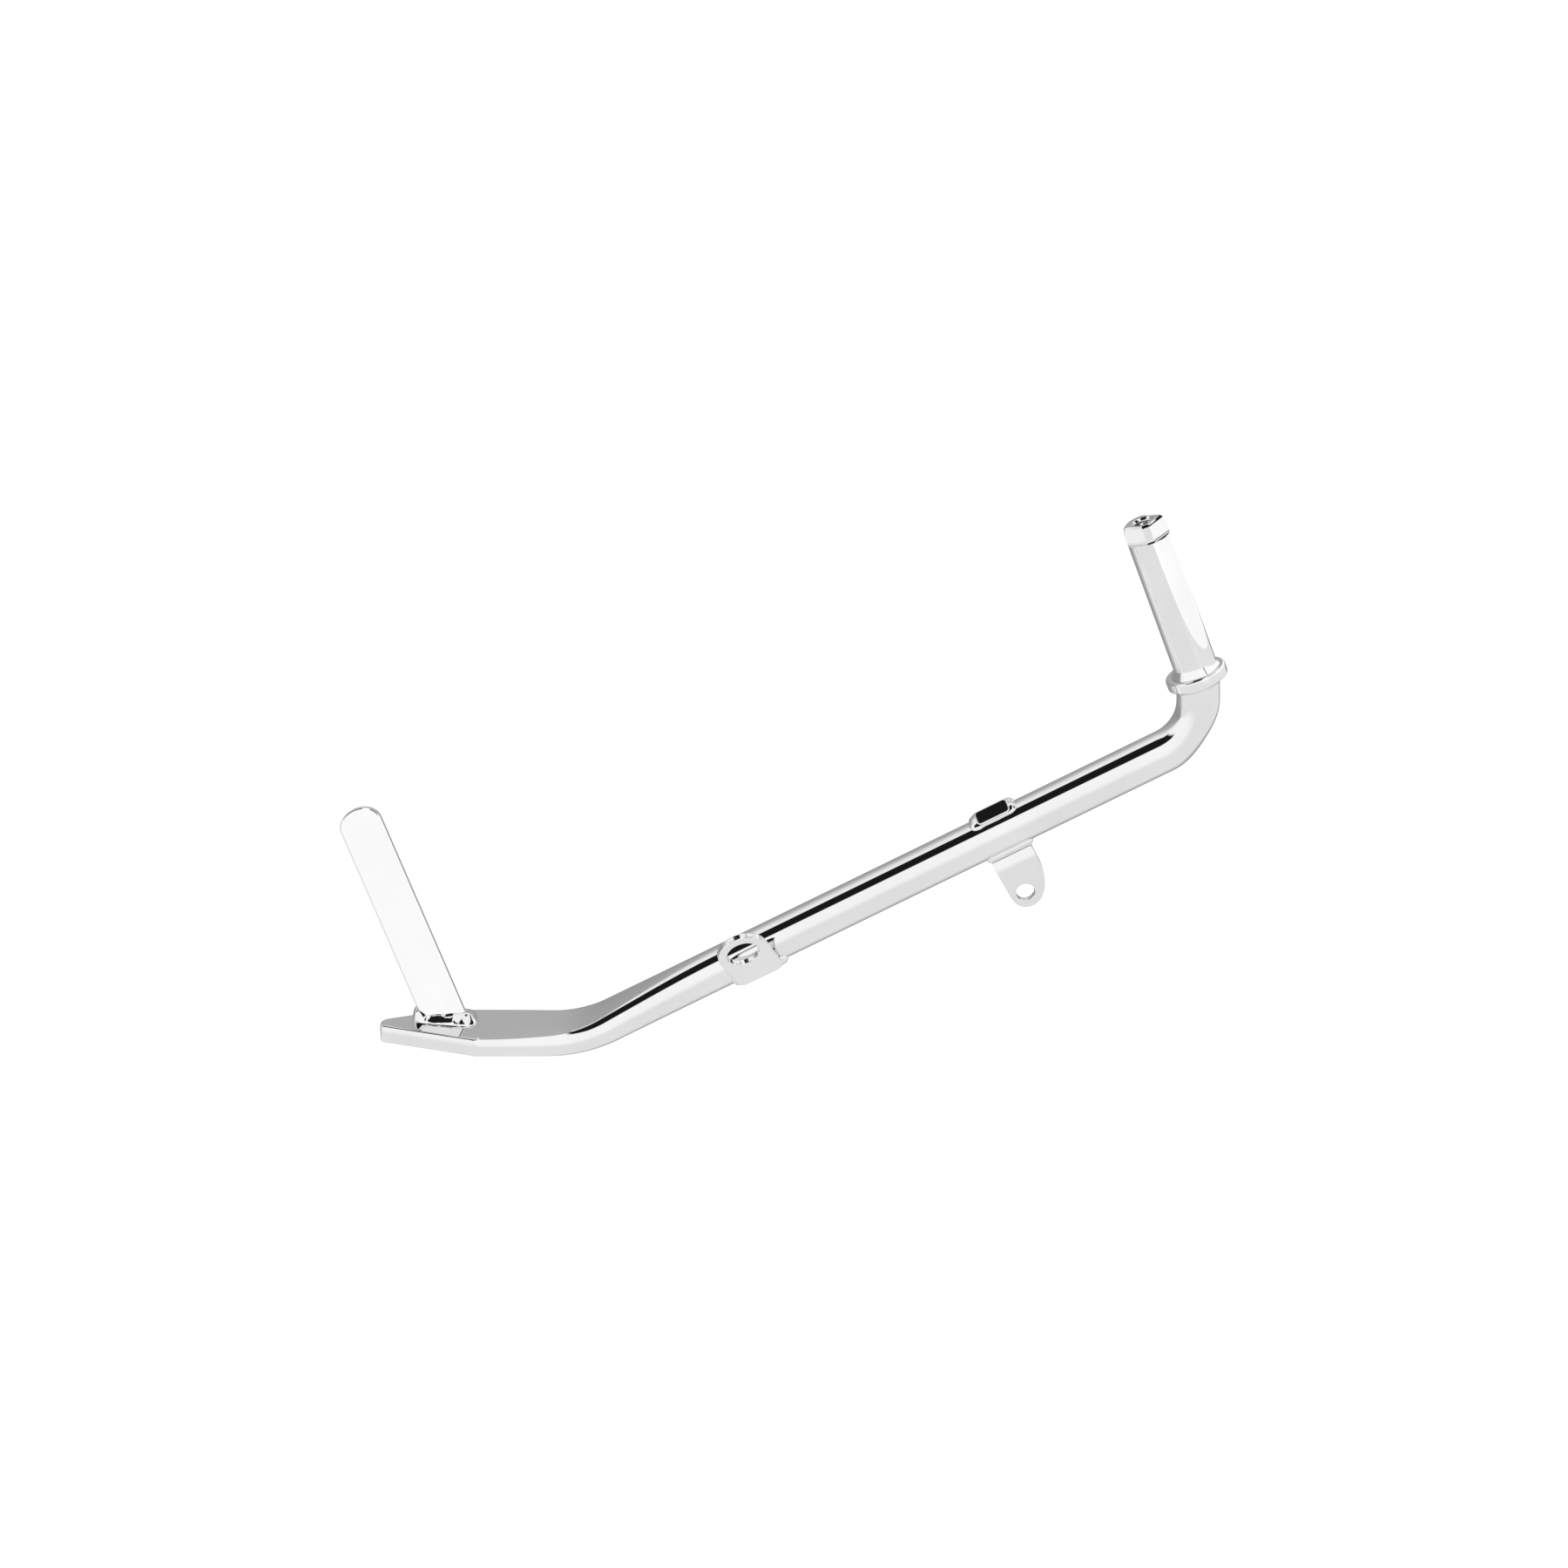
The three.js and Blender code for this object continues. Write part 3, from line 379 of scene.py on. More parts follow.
def leg_centre_line():
    """Stations down the leg as (length, centre, direction), from the toe to under the collar, then
    the length at which the top bend starts and the length of that bend."""
    foot_bend_from = FOOT_CORNER_X - FOOT_BEND_RADIUS * math.tan(BAR_RISE / 2)
    along = Vector((math.cos(BAR_RISE), math.sin(BAR_RISE)))
    upward = Vector((-along.y, along.x))
    top_turn = math.pi / 2 + STUB_LEAN - BAR_RISE
    tangent = TOP_BEND_RADIUS * math.tan(top_turn / 2)
    top_from = Vector(TOP_CORNER) - along * tangent

    def bend(length, hub, radius, start, turned, steps):
        """Stations round a bend, past its first."""
        made = []
        for i in range(1, steps + 1):
            turn = start + turned * i / steps
            centre = hub + radius * Vector((math.sin(turn), -math.cos(turn)))
            heading = Vector((math.cos(turn), math.sin(turn)))
            made.append((length + radius * turned * i / steps, centre, heading))
        return made

    level = foot_bend_from - TOE_X
    steps = [TOE_ROUNDING_LENGTH * (i / TOE_STEPS) ** 2 for i in range(TOE_STEPS)]
    steps += [lerp(TOE_ROUNDING_LENGTH, level, i / FOOT_STEPS) for i in range(FOOT_STEPS + 1)]
    stations = [(step, Vector((TOE_X + step, FOOT_CORNER_Z)), Vector((1, 0))) for step in steps]
    foot_hub = Vector((foot_bend_from, FOOT_CORNER_Z + FOOT_BEND_RADIUS))
    stations += bend(level, foot_hub, FOOT_BEND_RADIUS, 0, BAR_RISE, FOOT_BEND_STEPS)
    straight_from, start, _ = stations[-1]
    straight = (top_from - start).length
    for i in range(1, STRAIGHT_STEPS + 1):
        share = i / STRAIGHT_STEPS
        stations.append((straight_from + straight * share, start.lerp(top_from, share), along))
    top_bend_from = straight_from + straight
    top_hub = top_from + upward * TOP_BEND_RADIUS
    stations += bend(top_bend_from, top_hub, TOP_BEND_RADIUS, BAR_RISE, top_turn, TOP_BEND_STEPS)
    return stations, top_bend_from, TOP_BEND_RADIUS * top_turn


def make_leg_bar():
    """The bar from its toe, through both bends, to the plane under the collar."""
    stations, bend_from, bend_length = leg_centre_line()
    flat_until = FOOT_LENGTH - FLAT_UNTIL
    round_from = FOOT_LENGTH + ROUND_FROM
    front_far = FOOT_CORNER_X - TOE_FRONT_CUT
    back_far = FOOT_CORNER_X - TOE_BACK_CUT
    rings = []
    for at, centre, heading in stations:
        stage = 1 - smoothstep(at, flat_until, round_from)
        bent = min(1, max(0, (at - bend_from) / bend_length))
        thinning = TOP_BEND_THINNING / BAR_RADIUS * math.sin(math.pi * bent) ** 2
        front, back, half_height = -UNCUT, UNCUT, FOOT_HALF_HEIGHT
        x = TOE_X + at
        if x < front_far:
            front = toe_side(TOE_FRONT_CORNER, TOE_FRONT_Y, front_far, -FOOT_HALF_WIDTH, x)
        if x < back_far:
            back = toe_side(TOE_BACK_CORNER, TOE_BACK_Y, back_far, FOOT_HALF_WIDTH, x)
        middle = lerp(TOE_MIDDLE_Y, 0, smoothstep(at, 0, TOE_MIDDLE_LENGTH))
        if at < SHEAR_EDGE:
            half_height -= SHEAR_EDGE - math.sqrt(SHEAR_EDGE ** 2 - (SHEAR_EDGE - at) ** 2)
        ring = []
        for across, up in leg_section(stage, front, back, middle, half_height):
            lift = up * (1 - thinning) if up < 0 else up
            lift *= 1 - BAR_INSET / BAR_RADIUS
            ring.append(Vector((centre.x - heading.y * lift, across, centre.y + heading.x * lift)))
        rings.append(ring)
    # the stub runs straight up to the plane under the collar
    seat_normal = SPINDLE_FRAME.to_3x3() @ Vector((0, 0, 1))
    stub = Vector((-math.sin(STUB_LEAN), 0, math.cos(STUB_LEAN)))
    last = rings[-1]
    rise = stub.dot(seat_normal)
    tops = [p + stub * ((COLLAR_SEAT - p.dot(seat_normal)) / rise) for p in last]
    for share in (0.25, 0.5, 0.75, 1):
        rings.append([a.lerp(b, share) for a, b in zip(last, tops)])
    verts, faces = skin(rings)
    add_piece("chrome_leg_bar", verts, faces, "bar_chrome", "leg_bar", sharp=40)


# ---------------------------------------------------------------- spindle and collar

SPINDLE_POINTS = 720
THREAD_STEPS = 190
# the chamfer's section, from a quarter circle (1) to a straight cut (2)
CHAMFER_FLATNESS = 1.85
COLLAR_POINTS = 256


def outer_radius(z):
    """The spindle's radius before its flats are milled, which narrows near the tip."""
    if z > SPINDLE_LENGTH - TIP_EDGE:
        return TIP_RADIUS
    taper = smoothstep(z, SPINDLE_LENGTH - TIP_TAPER_LENGTH, SPINDLE_LENGTH - TIP_EDGE)
    return lerp(SPINDLE_RADIUS, TIP_RADIUS, taper)


def milled(radius, turn):
    """The radius at a turn once the flats have cut it."""
    for degrees, distance in DRIVE_FLATS:
        facing = math.cos(turn - math.radians(degrees))
        if facing > 0.2:
            radius = min(radius, distance / facing)
    return radius


def thread_radius(z, turn):
    """The end hole's radius, with ridges that run out near its mouth."""
    phase = (z / THREAD_PITCH - turn / (2 * math.pi)) % 1
    groove = max(0, abs(2 * phase - 1) - THREAD_CREST)
    fade = smoothstep(z, THREADS_TO - THREAD_PITCH, THREADS_TO)
    return TAPPED_HOLE_RADIUS + THREAD_DEPTH * groove * (1 - fade * THREAD_FADE)


def spindle_rows():
    """Rows from the floor of the end hole, over the end and down to the collar, as (surface, share,
    height). The share says how far across its surface a row lies, or is a hole's radius."""
    top = SPINDLE_LENGTH
    mouth = top - (COUNTERSINK_RADIUS - TAPPED_HOLE_RADIUS)
    rows = [("thread", 0, lerp(THREADS_FROM, THREADS_TO, i / THREAD_STEPS))
            for i in range(THREAD_STEPS + 1)]
    rows += [("hole", TAPPED_HOLE_RADIUS, mouth - 0.05), ("hole", TAPPED_HOLE_RADIUS + 0.12, mouth + 0.1)]
    rows += [("hole", COUNTERSINK_RADIUS - 0.1, top - 0.12), ("hole", COUNTERSINK_RADIUS, top - 0.02)]
    rows += [("end", share, top) for share in (0.02, 0.25, 0.5, 0.75, 0.98)]
    for degrees in range(0, 90, 6):
        bend = math.radians(degrees)
        drop = TIP_CHAMFER * (1 - math.cos(bend) ** CHAMFER_FLATNESS)
        rows.append(("chamfer", math.sin(bend) ** CHAMFER_FLATNESS, top - drop))
    for i in range(13):
        rows.append(("flats", 0, lerp(top - TIP_CHAMFER, FLATS_FROM + FLAT_FILLET, i / 12)))
    for degrees in range(9, 91, 9):
        bend = math.radians(degrees)
        rows.append(("fillet", 1 - math.cos(bend), FLATS_FROM + FLAT_FILLET * (1 - math.sin(bend))))
    rows += [("shelf", 0.5, FLATS_FROM), ("shelf", 0.96, FLATS_FROM)]
    rows += [("round", 0, FLATS_FROM - 0.12), ("round", 0, FLATS_FROM - 0.3)]
    rows += [("round", 0, lerp(FLATS_FROM - 1, -COLLAR_THICKNESS, i / 40)) for i in range(41)]
    return rows


def row_radius(surface, share, z, turn):
    """The radius of a row of the spindle at a turn about its axis."""
    plain = outer_radius(z)
    flat = milled(plain, turn)
    tip = milled(TIP_RADIUS, turn) - TIP_CHAMFER
    if surface == "thread":
        return thread_radius(z, turn)
    if surface == "hole":
        return share
    if surface == "end":
        return lerp(COUNTERSINK_RADIUS, tip, share)
    if surface == "chamfer":
        return tip + TIP_CHAMFER * share
    if surface == "flats":
        return flat
    if surface == "fillet":
        return min(plain, flat + FLAT_FILLET * share)
    if surface == "shelf":
        return lerp(min(plain, flat + FLAT_FILLET), plain, share)
    return plain


def make_spindle():
    """Inside the end hole, over the end, down the milled flats and the plain round to the collar."""
    rings = []
    for surface, share, z in reversed(spindle_rows()):
        ring = []
        for i in range(SPINDLE_POINTS):
            turn = 2 * math.pi * i / SPINDLE_POINTS
            r = row_radius(surface, share, z, turn)
            ring.append(SPINDLE_FRAME @ Vector((r * math.cos(turn), r * math.sin(turn), z)))
        rings.append(ring)
    verts, faces = skin(rings)
    add_piece("chrome_pivot_spindle", verts, faces, "spindle_chrome", "pivot_spindle", sharp=28)


def make_collar():
    """A ring whose outer rims are rounded. It sits off centre, but its bore follows the spindle."""
    under, edge = -COLLAR_THICKNESS, COLLAR_EDGE
    rim = COLLAR_RADIUS - edge
    bore = SPINDLE_RADIUS + GAP
    profile = [(bore - 1, under), (rim - 1, under)]
    profile += arc((rim, under + edge), edge, -90, 0, 8)
    profile += arc((rim, -edge), edge, 0, 90, 8)
    profile += [(rim - 1, 0), (bore + 1, 0), (bore + 0.4, 0)]
    rings = []
    for radius, z in profile:
        shift = COLLAR_OFFSET if radius > bore + 0.5 else 0
        ring = []
        for i in range(COLLAR_POINTS):
            turn = 2 * math.pi * i / COLLAR_POINTS
            spot = Vector((shift + radius * math.cos(turn), radius * math.sin(turn), z))
            ring.append(SPINDLE_FRAME @ spot)
        rings.append(ring)
    verts, faces = skin(rings, loop=True)
    add_piece("chrome_pivot_collar", verts, faces, "spindle_chrome", "pivot_collar", sharp=45)


# ---------------------------------------------------------------- weld beads

BEAD_POINTS = 28
# a lap bends back over the bead by this share of its pitch, and is this round on average
LAP_BEND = 0.35
LAP_MEAN = 0.6


def bead(name, stations, loop, replaced, section, pitch, depth, lumps, grain, seed):
    """A weld bead over stations of (root, out, up, half width, half height). Its section is round
    when `section` is 1 and a plain mitre at 2. Its skin has laps, `depth` deep at every `pitch`,
    and slow `lumps` of the size that `grain` sets."""
    rings = []
    run = 0.0
    for i, (root, out, up, wide, high) in enumerate(stations):
        if i:
            run += (root - stations[i - 1][0]).length
        ring = []
        for j in range(BEAD_POINTS):
            turn = -2 * math.pi * j / BEAD_POINTS
            lap = (run / pitch + LAP_BEND * math.cos(turn)) % 1
            scale = 1 + depth * (math.sqrt(max(0, 1 - (2 * lap - 1) ** 2)) - LAP_MEAN)
            across, rise = (math.copysign(abs(c) ** section, c) for c in (math.cos(turn), math.sin(turn)))
            direction = out * (wide * across) + up * (high * rise)
            spot = root + direction
            scale += lumps * noise.noise(spot * grain + Vector((seed, seed * 2, -seed)))
            scale += 0.2 * lumps * noise.noise(spot * grain * 2.6 + Vector((-seed, seed, seed)))
            ring.append(root + direction * scale)
        rings.append(ring)
    verts, faces = skin(rings, loop)
    add_piece(name, verts, faces, "weld_chrome", replaced, sharp=60)


def resample(points, closed, step):
    """Even points with outward directions along a flat path that runs anticlockwise."""
    points = [Vector(p) for p in points]
    if closed:
        points.append(points[0])
    lengths = [0.0]
    for a, b in zip(points, points[1:]):
        lengths.append(lengths[-1] + (b - a).length)
    total = lengths[-1]
    count = max(8, round(total / step))
    even = []
    for i in range(count if closed else count + 1):
        at = total * i / count
        past = next((n for n, length in enumerate(lengths) if length > at), len(points) - 1)
        k = max(0, min(len(points) - 2, past - 1))
        share = (at - lengths[k]) / max(TINY, lengths[k + 1] - lengths[k])
        even.append(points[k].lerp(points[k + 1], share))
    made = []
    last = len(even) - 1
    for i, p in enumerate(even):
        before = even[i - 1] if i or closed else p
        after = even[i + 1] if i < last else (even[0] if closed else p)
        heading = (after - before).normalized()
        made.append((p, Vector((heading.y, -heading.x))))
    return made


def rounded_rectangle(x0, x1, y0, y1, size, steps=8):
    """An anticlockwise outline whose corners have the radius `size`."""
    points = []
    for cx, cy, start in ((x0 + size, y0 + size, 180), (x1 - size, y0 + size, 270),
                          (x1 - size, y1 - size, 0), (x0 + size, y1 - size, 90)):
        points += arc((cx, cy), size, start, start + 90, steps)
    return points


def on_bar(point, away, wide, high):
    """Wraps a flat path, drawn along the bar and up round it from its outboard side, on to the bar."""
    turn = point.y / BAR_RADIUS
    up = Vector((0, -math.cos(turn), math.sin(turn)))
    root = up * BAR_RADIUS + Vector((point.x, 0, 0))
    out = Vector((away.x, away.y * math.sin(turn), away.y * math.cos(turn)))
    turned = BAR_FRAME.to_3x3()
    return BAR_FRAME @ root, turned @ out, turned @ up, wide, high


UPPER_WELD_WIDTH = 2.6
UPPER_WELD_HEIGHT = 4.0
UPPER_WELD_LIGHT = 0.55
LOWER_WELD_SIZE = 1.5

STRAP_WELD_WIDTH = 3.2
STRAP_WELD_HEIGHT = 3.0
STRAP_WELD_CORNER = 2.4
# it is wider beside the strap's narrow sides, and climbs and tilts there by (toe side, heel side)
STRAP_WELD_FLARE = 0.8
STRAP_WELD_CLIMB = (2.6, 0.3)
STRAP_WELD_TILT = (-0.4, 0.2)
# its front is larger by these, from the toe's end to the heel's
STRAP_WELD_FRONT_WIDTH = (-1.3, 2.9)
STRAP_WELD_FRONT_HEIGHT = (-0.3, 0.9)

BRACKET_WELD_SIZE = 2.4
BRACKET_WELD_CORNER = 2
# how far its ends climb round the bar above the line where the plate meets it
BRACKET_WELD_LEFT_RISE = math.radians(16)
BRACKET_WELD_RIGHT_RISE = math.radians(2)
# it tapers over this share of its length at each end, and is heavier near its right end
BRACKET_WELD_TAPER = 1 / 9
BRACKET_WELD_LEAST = 0.004
BRACKET_WELD_HEAVY = 1.3
BRACKET_WELD_HEAVY_FROM = 0.72
BRACKET_WELD_HEAVY_BY = 0.9

TAB_WELD_SIZE = 1.8
TAB_WELD_CORNER = 0.8
TAB_WELD_BACK = math.radians(5)

# (width, height) on the lug's near and far sides, and the widths at its two ends
LUG_WELD_NEAR = (0.7, 1.0)
LUG_WELD_FAR = (2.2, 2.5)
LUG_WELD_LEFT_WIDTH = 3.8
LUG_WELD_RIGHT_WIDTH = 2.6


def make_upper_weld():
    """The fillet on the collar, round the spindle, which is lighter on the side away from the foot."""
    turned = SPINDLE_FRAME.to_3x3()
    stations = []
    for i in range(300):
        turn = 2 * math.pi * i / 300
        out = Vector((math.cos(turn), math.sin(turn), 0))
        root = SPINDLE_FRAME @ (out * (SPINDLE_RADIUS - 0.5) + Vector((0, 0, 0.15)))
        heavy = lerp(1, UPPER_WELD_LIGHT, smoothstep(math.cos(turn), 0.3, 0.9))
        wide, high = UPPER_WELD_WIDTH * heavy, UPPER_WELD_HEIGHT * heavy
        stations.append((root, turned @ out, turned @ Vector((0, 0, 1)), wide, high))
    bead("weld_collar_upper", stations, True, "collar_upper_weld",
         section=2.0, pitch=3.4, depth=0.004, lumps=0.02, grain=0.25, seed=3.1)


def make_lower_weld():
    """The bead under the collar, round the leaning stub."""
    turned = SPINDLE_FRAME.to_3x3()
    lean = SPINDLE_LEAN - STUB_LEAN
    corner = SPINDLE_FRAME.inverted() @ Vector((TOP_CORNER[0], 0, TOP_CORNER[1]))
    middle = corner.x + (COLLAR_SEAT - corner.z) * math.tan(lean)
    long_radius = BAR_RADIUS / math.cos(lean)
    stations = []
    for i in range(280):
        turn = 2 * math.pi * i / 280
        root = Vector((middle + long_radius * math.cos(turn), BAR_RADIUS * math.sin(turn), COLLAR_SEAT))
        out = turned @ Vector((math.cos(turn), math.sin(turn), 0))
        up = turned @ Vector((0, 0, 1))
        stations.append((SPINDLE_FRAME @ root, out, up, LOWER_WELD_SIZE, LOWER_WELD_SIZE))
    bead("weld_collar_lower", stations, True, "collar_lower_weld",
         section=1.3, pitch=3.4, depth=0.015, lumps=0.08, grain=0.25, seed=7.7)


def make_strap_weld():
    """The bead round the strap's foot. It climbs the strap's edge on the toe's side, and its front
    swells towards the heel."""
    half_length = STRAP_WIDTH / 2 / math.cos(STRAP_LEAN)
    half_thick = STRAP_THICKNESS / 2 / math.cos(STRAP_LEAN_BACK)
    path = rounded_rectangle(-half_length, half_length, -half_thick, half_thick, STRAP_WELD_CORNER)
    stations = []
    for p, away in resample(path, True, 0.35):
        side = smoothstep(abs(away.x), 0.2, 0.9)
        front = smoothstep(-away.y, 0.2, 0.9)
        heelward = (p.x + half_length) / (2 * half_length)
        end = 0 if away.x < 0 else 1
        climb, tilt = STRAP_WELD_CLIMB[end], STRAP_WELD_TILT[end]
        wide = STRAP_WELD_WIDTH + STRAP_WELD_FLARE * side + lerp(*STRAP_WELD_FRONT_WIDTH, heelward) * front
        high = STRAP_WELD_HEIGHT + climb * side + lerp(*STRAP_WELD_FRONT_HEIGHT, heelward) * front
        up = Vector((tilt, 0, 1)) * side + Vector((0, 0.2, 1)) * (1 - side)
        root = STRAP_FOOT @ Vector((p.x, p.y, 0))
        stations.append((root, Vector((away.x, away.y, 0)), up.normalized(), wide, high))
    bead("weld_kick_strap", stations, True, "kick_strap_weld",
         section=1.35, pitch=6, depth=0.015, lumps=0.14, grain=0.22, seed=1.3)


def make_bracket_weld():
    """The bead round the eye plate's skirt, open at the top, which tapers to its ends."""
    half = BRACKET_HALF_WIDTH
    bottom = -BAR_RADIUS * (BRACKET_TILT + math.asin(BRACKET_SKIRT / BAR_RADIUS))
    left_top = -BAR_RADIUS * (BRACKET_TILT - BRACKET_WELD_LEFT_RISE)
    right_top = -BAR_RADIUS * (BRACKET_TILT - BRACKET_WELD_RIGHT_RISE)
    corner = BRACKET_WELD_CORNER
    path = [(BRACKET_ALONG - half, left_top)]
    path += arc((BRACKET_ALONG - half + corner, bottom + corner), corner, 180, 270, 6)
    path += arc((BRACKET_ALONG + half - corner, bottom + corner), corner, 270, 360, 6)
    path.append((BRACKET_ALONG + half, right_top))
    spots = resample(path, False, 0.3)
    stations = []
    for i, (p, away) in enumerate(spots):
        share = i / (len(spots) - 1)
        taper = min(1, share / BRACKET_WELD_TAPER, (1 - share) / BRACKET_WELD_TAPER)
        size = BRACKET_WELD_SIZE * math.sqrt(max(BRACKET_WELD_LEAST, taper))
        swell = smoothstep(share, BRACKET_WELD_HEAVY_FROM, BRACKET_WELD_HEAVY_BY)
        heavy = lerp(1, BRACKET_WELD_HEAVY, swell)
        stations.append(on_bar(p, away, size * heavy, size))
    bead("weld_bumper_bracket", stations, False, "bumper_bracket_weld",
         section=1.25, pitch=3.4, depth=0.02, lumps=0.1, grain=0.25, seed=5.5)


def make_tab_weld():
    """The bead round the tab's root, which stands a little off the tab's back."""
    front_turn = -math.pi / 2 + math.asin(TAB_ROOT_OUT / BAR_RADIUS)
    width = TAB_THICKNESS / math.cos(TAB_ROOT_SLOPE / 2) + BAR_RADIUS * TAB_WELD_BACK
    front = front_turn * BAR_RADIUS
    path = rounded_rectangle(TAB_LEFT, TAB_RIGHT, front - width, front, TAB_WELD_CORNER)
    stations = [on_bar(p, away, TAB_WELD_SIZE, TAB_WELD_SIZE) for p, away in resample(path, True, 0.3)]
    bead("weld_spring_tab", stations, True, "spring_tab_weld",
         section=1.2, pitch=3, depth=0.03, lumps=0.12, grain=0.3, seed=9.2)


def make_lug_weld():
    """The bead round the lug, thin on its near side and wide at its ends."""
    near = LUG_TILT + math.asin(LUG_NEAR_EDGE / BAR_RADIUS)
    far = LUG_TILT + math.asin((LUG_NEAR_EDGE + LUG_WIDTH) / BAR_RADIUS)
    half = LUG_LENGTH / 2
    path = rounded_rectangle(
        LUG_ALONG - half, LUG_ALONG + half, near * BAR_RADIUS, far * BAR_RADIUS, LUG_CORNER)
    stations = []
    for p, away in resample(path, True, 0.3):
        inward = (p.y / BAR_RADIUS - near) / (far - near)
        wide, high = (lerp(a, b, inward) for a, b in zip(LUG_WELD_NEAR, LUG_WELD_FAR))
        end_width = LUG_WELD_LEFT_WIDTH if away.x < 0 else LUG_WELD_RIGHT_WIDTH
        stations.append(on_bar(p, away, lerp(wide, end_width, away.x ** 2), high))
    bead("weld_stop_lug", stations, True, "stop_lug_weld",
         section=1.0, pitch=3.4, depth=0.015, lumps=0.16, grain=0.35, seed=2.4)


# ---------------------------------------------------------------- plates

# how far cutters reach past what they cut
REACH = 40


def cut_with(piece, cutter, operation):
    """Has a piece cut by another object when finish_plate applies its modifiers."""
    cut = piece.modifiers.new("cut", "BOOLEAN")
    cut.operation = operation
    cut.solver = "EXACT"
    cut.object = cutter


def finish_plate(piece, cutters, round_edge, segments=4):
    """Takes the cutters away, rounds the rims and settles the flat faces' shading, all applied to
    the mesh."""
    for cutter in cutters:
        cut_with(piece, cutter, "DIFFERENCE")
    rounding = piece.modifiers.new("rim", "BEVEL")
    rounding.width = round_edge * MM
    rounding.segments = segments
    rounding.limit_method = "ANGLE"
    rounding.angle_limit = math.radians(40)
    flat = piece.modifiers.new("flat", "WEIGHTED_NORMAL")
    flat.keep_sharp = True
    flat.weight = 80
    bpy.context.view_layer.update()
    graph = bpy.context.evaluated_depsgraph_get()
    made = bpy.data.meshes.new_from_object(piece.evaluated_get(graph))
    piece.modifiers.clear()
    piece.data = made
    for cutter in cutters:
        bpy.data.objects.remove(cutter)


def prism(outline, y0, y1, frame_matrix):
    """Points and faces of a solid from an anticlockwise (x, z) outline between two depths."""
    count = len(outline)
    near = [frame_matrix @ Vector((x, y0, z)) for x, z in outline]
    far = [frame_matrix @ Vector((x, y1, z)) for x, z in outline]
    faces = [tuple(range(count)), tuple(reversed(range(count, 2 * count)))]
    for i in range(count):
        j = (i + 1) % count
        faces.append((j, i, count + i, count + j))
    return near + far, faces


def prism_cutter(outline, frame_matrix):
    """A prism right through a plate, which is only there to cut it."""
    verts, faces = prism(outline, -REACH, REACH, frame_matrix)
    data = bpy.data.meshes.new("cutter")
    data.from_pydata([Vector(p) * MM for p in verts], [], faces)
    made = bpy.data.objects.new("cutter", data)
    bpy.context.scene.collection.objects.link(made)
    return made


def hole_cutter(x, z, radius, frame_matrix, steps=96):
    """A round cutter for a plate's hole."""
    return prism_cutter(arc((x, z), radius, 0, 360 - 360 / steps, steps - 1), frame_matrix)


def make_strap():
    """The strap's blade starts inside the foot and is cut off just above the foot's top."""
    half = STRAP_WIDTH / 2
    end_from = STRAP_LENGTH - STRAP_END_RISE - STRAP_INSET
    outline = [(-half, -STRAP_WIDTH), (half, -STRAP_WIDTH)]
    for i in range(65):
        turn = math.pi * i / 64
        outline.append((half * math.cos(turn), end_from + STRAP_END_RISE * math.sin(turn)))
    verts, faces = prism(outline, -STRAP_THICKNESS / 2, STRAP_THICKNESS / 2, STRAP_FRAME)
    piece = add_piece("chrome_kick_strap", verts, faces, "strap_chrome", "kick_strap")
    below = [(-REACH, -REACH), (REACH, -REACH), (REACH, GAP), (-REACH, GAP)]
    finish_plate(piece, [prism_cutter(below, STRAP_FOOT)], STRAP_EDGE, segments=6)


def make_bracket():
    """The eye plate, with rounded corners on its skirt and a round top about its hole."""
    tilt = BAR_FRAME @ Matrix.Rotation(BRACKET_TILT, 4, "X")
    half = BRACKET_HALF_WIDTH
    outline = []
    corner = BRACKET_CORNER
    for cx, start in ((-half + corner, 180), (half - corner, 270)):
        outline += arc((BRACKET_ALONG + cx, -BRACKET_SKIRT + corner), corner, start, start + 90, 12)
    outline += arc((BRACKET_ALONG, BRACKET_HOLE_HEIGHT), half, 0, 180, 72)
    back = -BAR_RADIUS - GAP
    verts, faces = prism(outline, back - BRACKET_THICKNESS, back, tilt)
    piece = add_piece("chrome_bumper_bracket", verts, faces, "plate_chrome", "bumper_bracket")
    hole = hole_cutter(BRACKET_ALONG, BRACKET_HOLE_HEIGHT, BRACKET_HOLE_RADIUS, tilt)
    finish_plate(piece, [hole], BRACKET_EDGE)


# how far the tab's blank runs past its outline, at its sides and inside the bar
TAB_SPARE = 6
TAB_INSIDE = 5


def tab_profile():
    """The tab's side view as (outboard, up): the outer face from root to tip, then the inner back."""
    root = Vector((TAB_ROOT_OUT, -math.sqrt(BAR_RADIUS ** 2 - TAB_ROOT_OUT ** 2)))
    short = Vector((math.cos(TAB_ROOT_SLOPE), -math.sin(TAB_ROOT_SLOPE)))
    hang = Vector((-math.sin(TAB_LEAN), -math.cos(TAB_LEAN)))
    short_face = Vector((-short.y, short.x))
    hang_face = Vector((-hang.y, hang.x))
    reach = (TAB_FACE_OUT - root.dot(hang_face)) / short.dot(hang_face)
    corner = root + short * reach
    turn = short.angle(hang)
    hub = corner - short * (TAB_BEND_RADIUS * math.tan(turn / 2)) - short_face * TAB_BEND_RADIUS
    first = math.atan2(short_face.y, short_face.x)

    def side(offset):
        radius = TAB_BEND_RADIUS + offset
        turns = [first - turn * i / 28 for i in range(29)]
        points = [hub + radius * Vector((math.cos(t), math.sin(t))) for t in turns]
        return [points[0] - short * TAB_INSIDE] + points + [points[-1] + hang * TAB_DROP]

    return side(0) + list(reversed(side(-TAB_THICKNESS)))


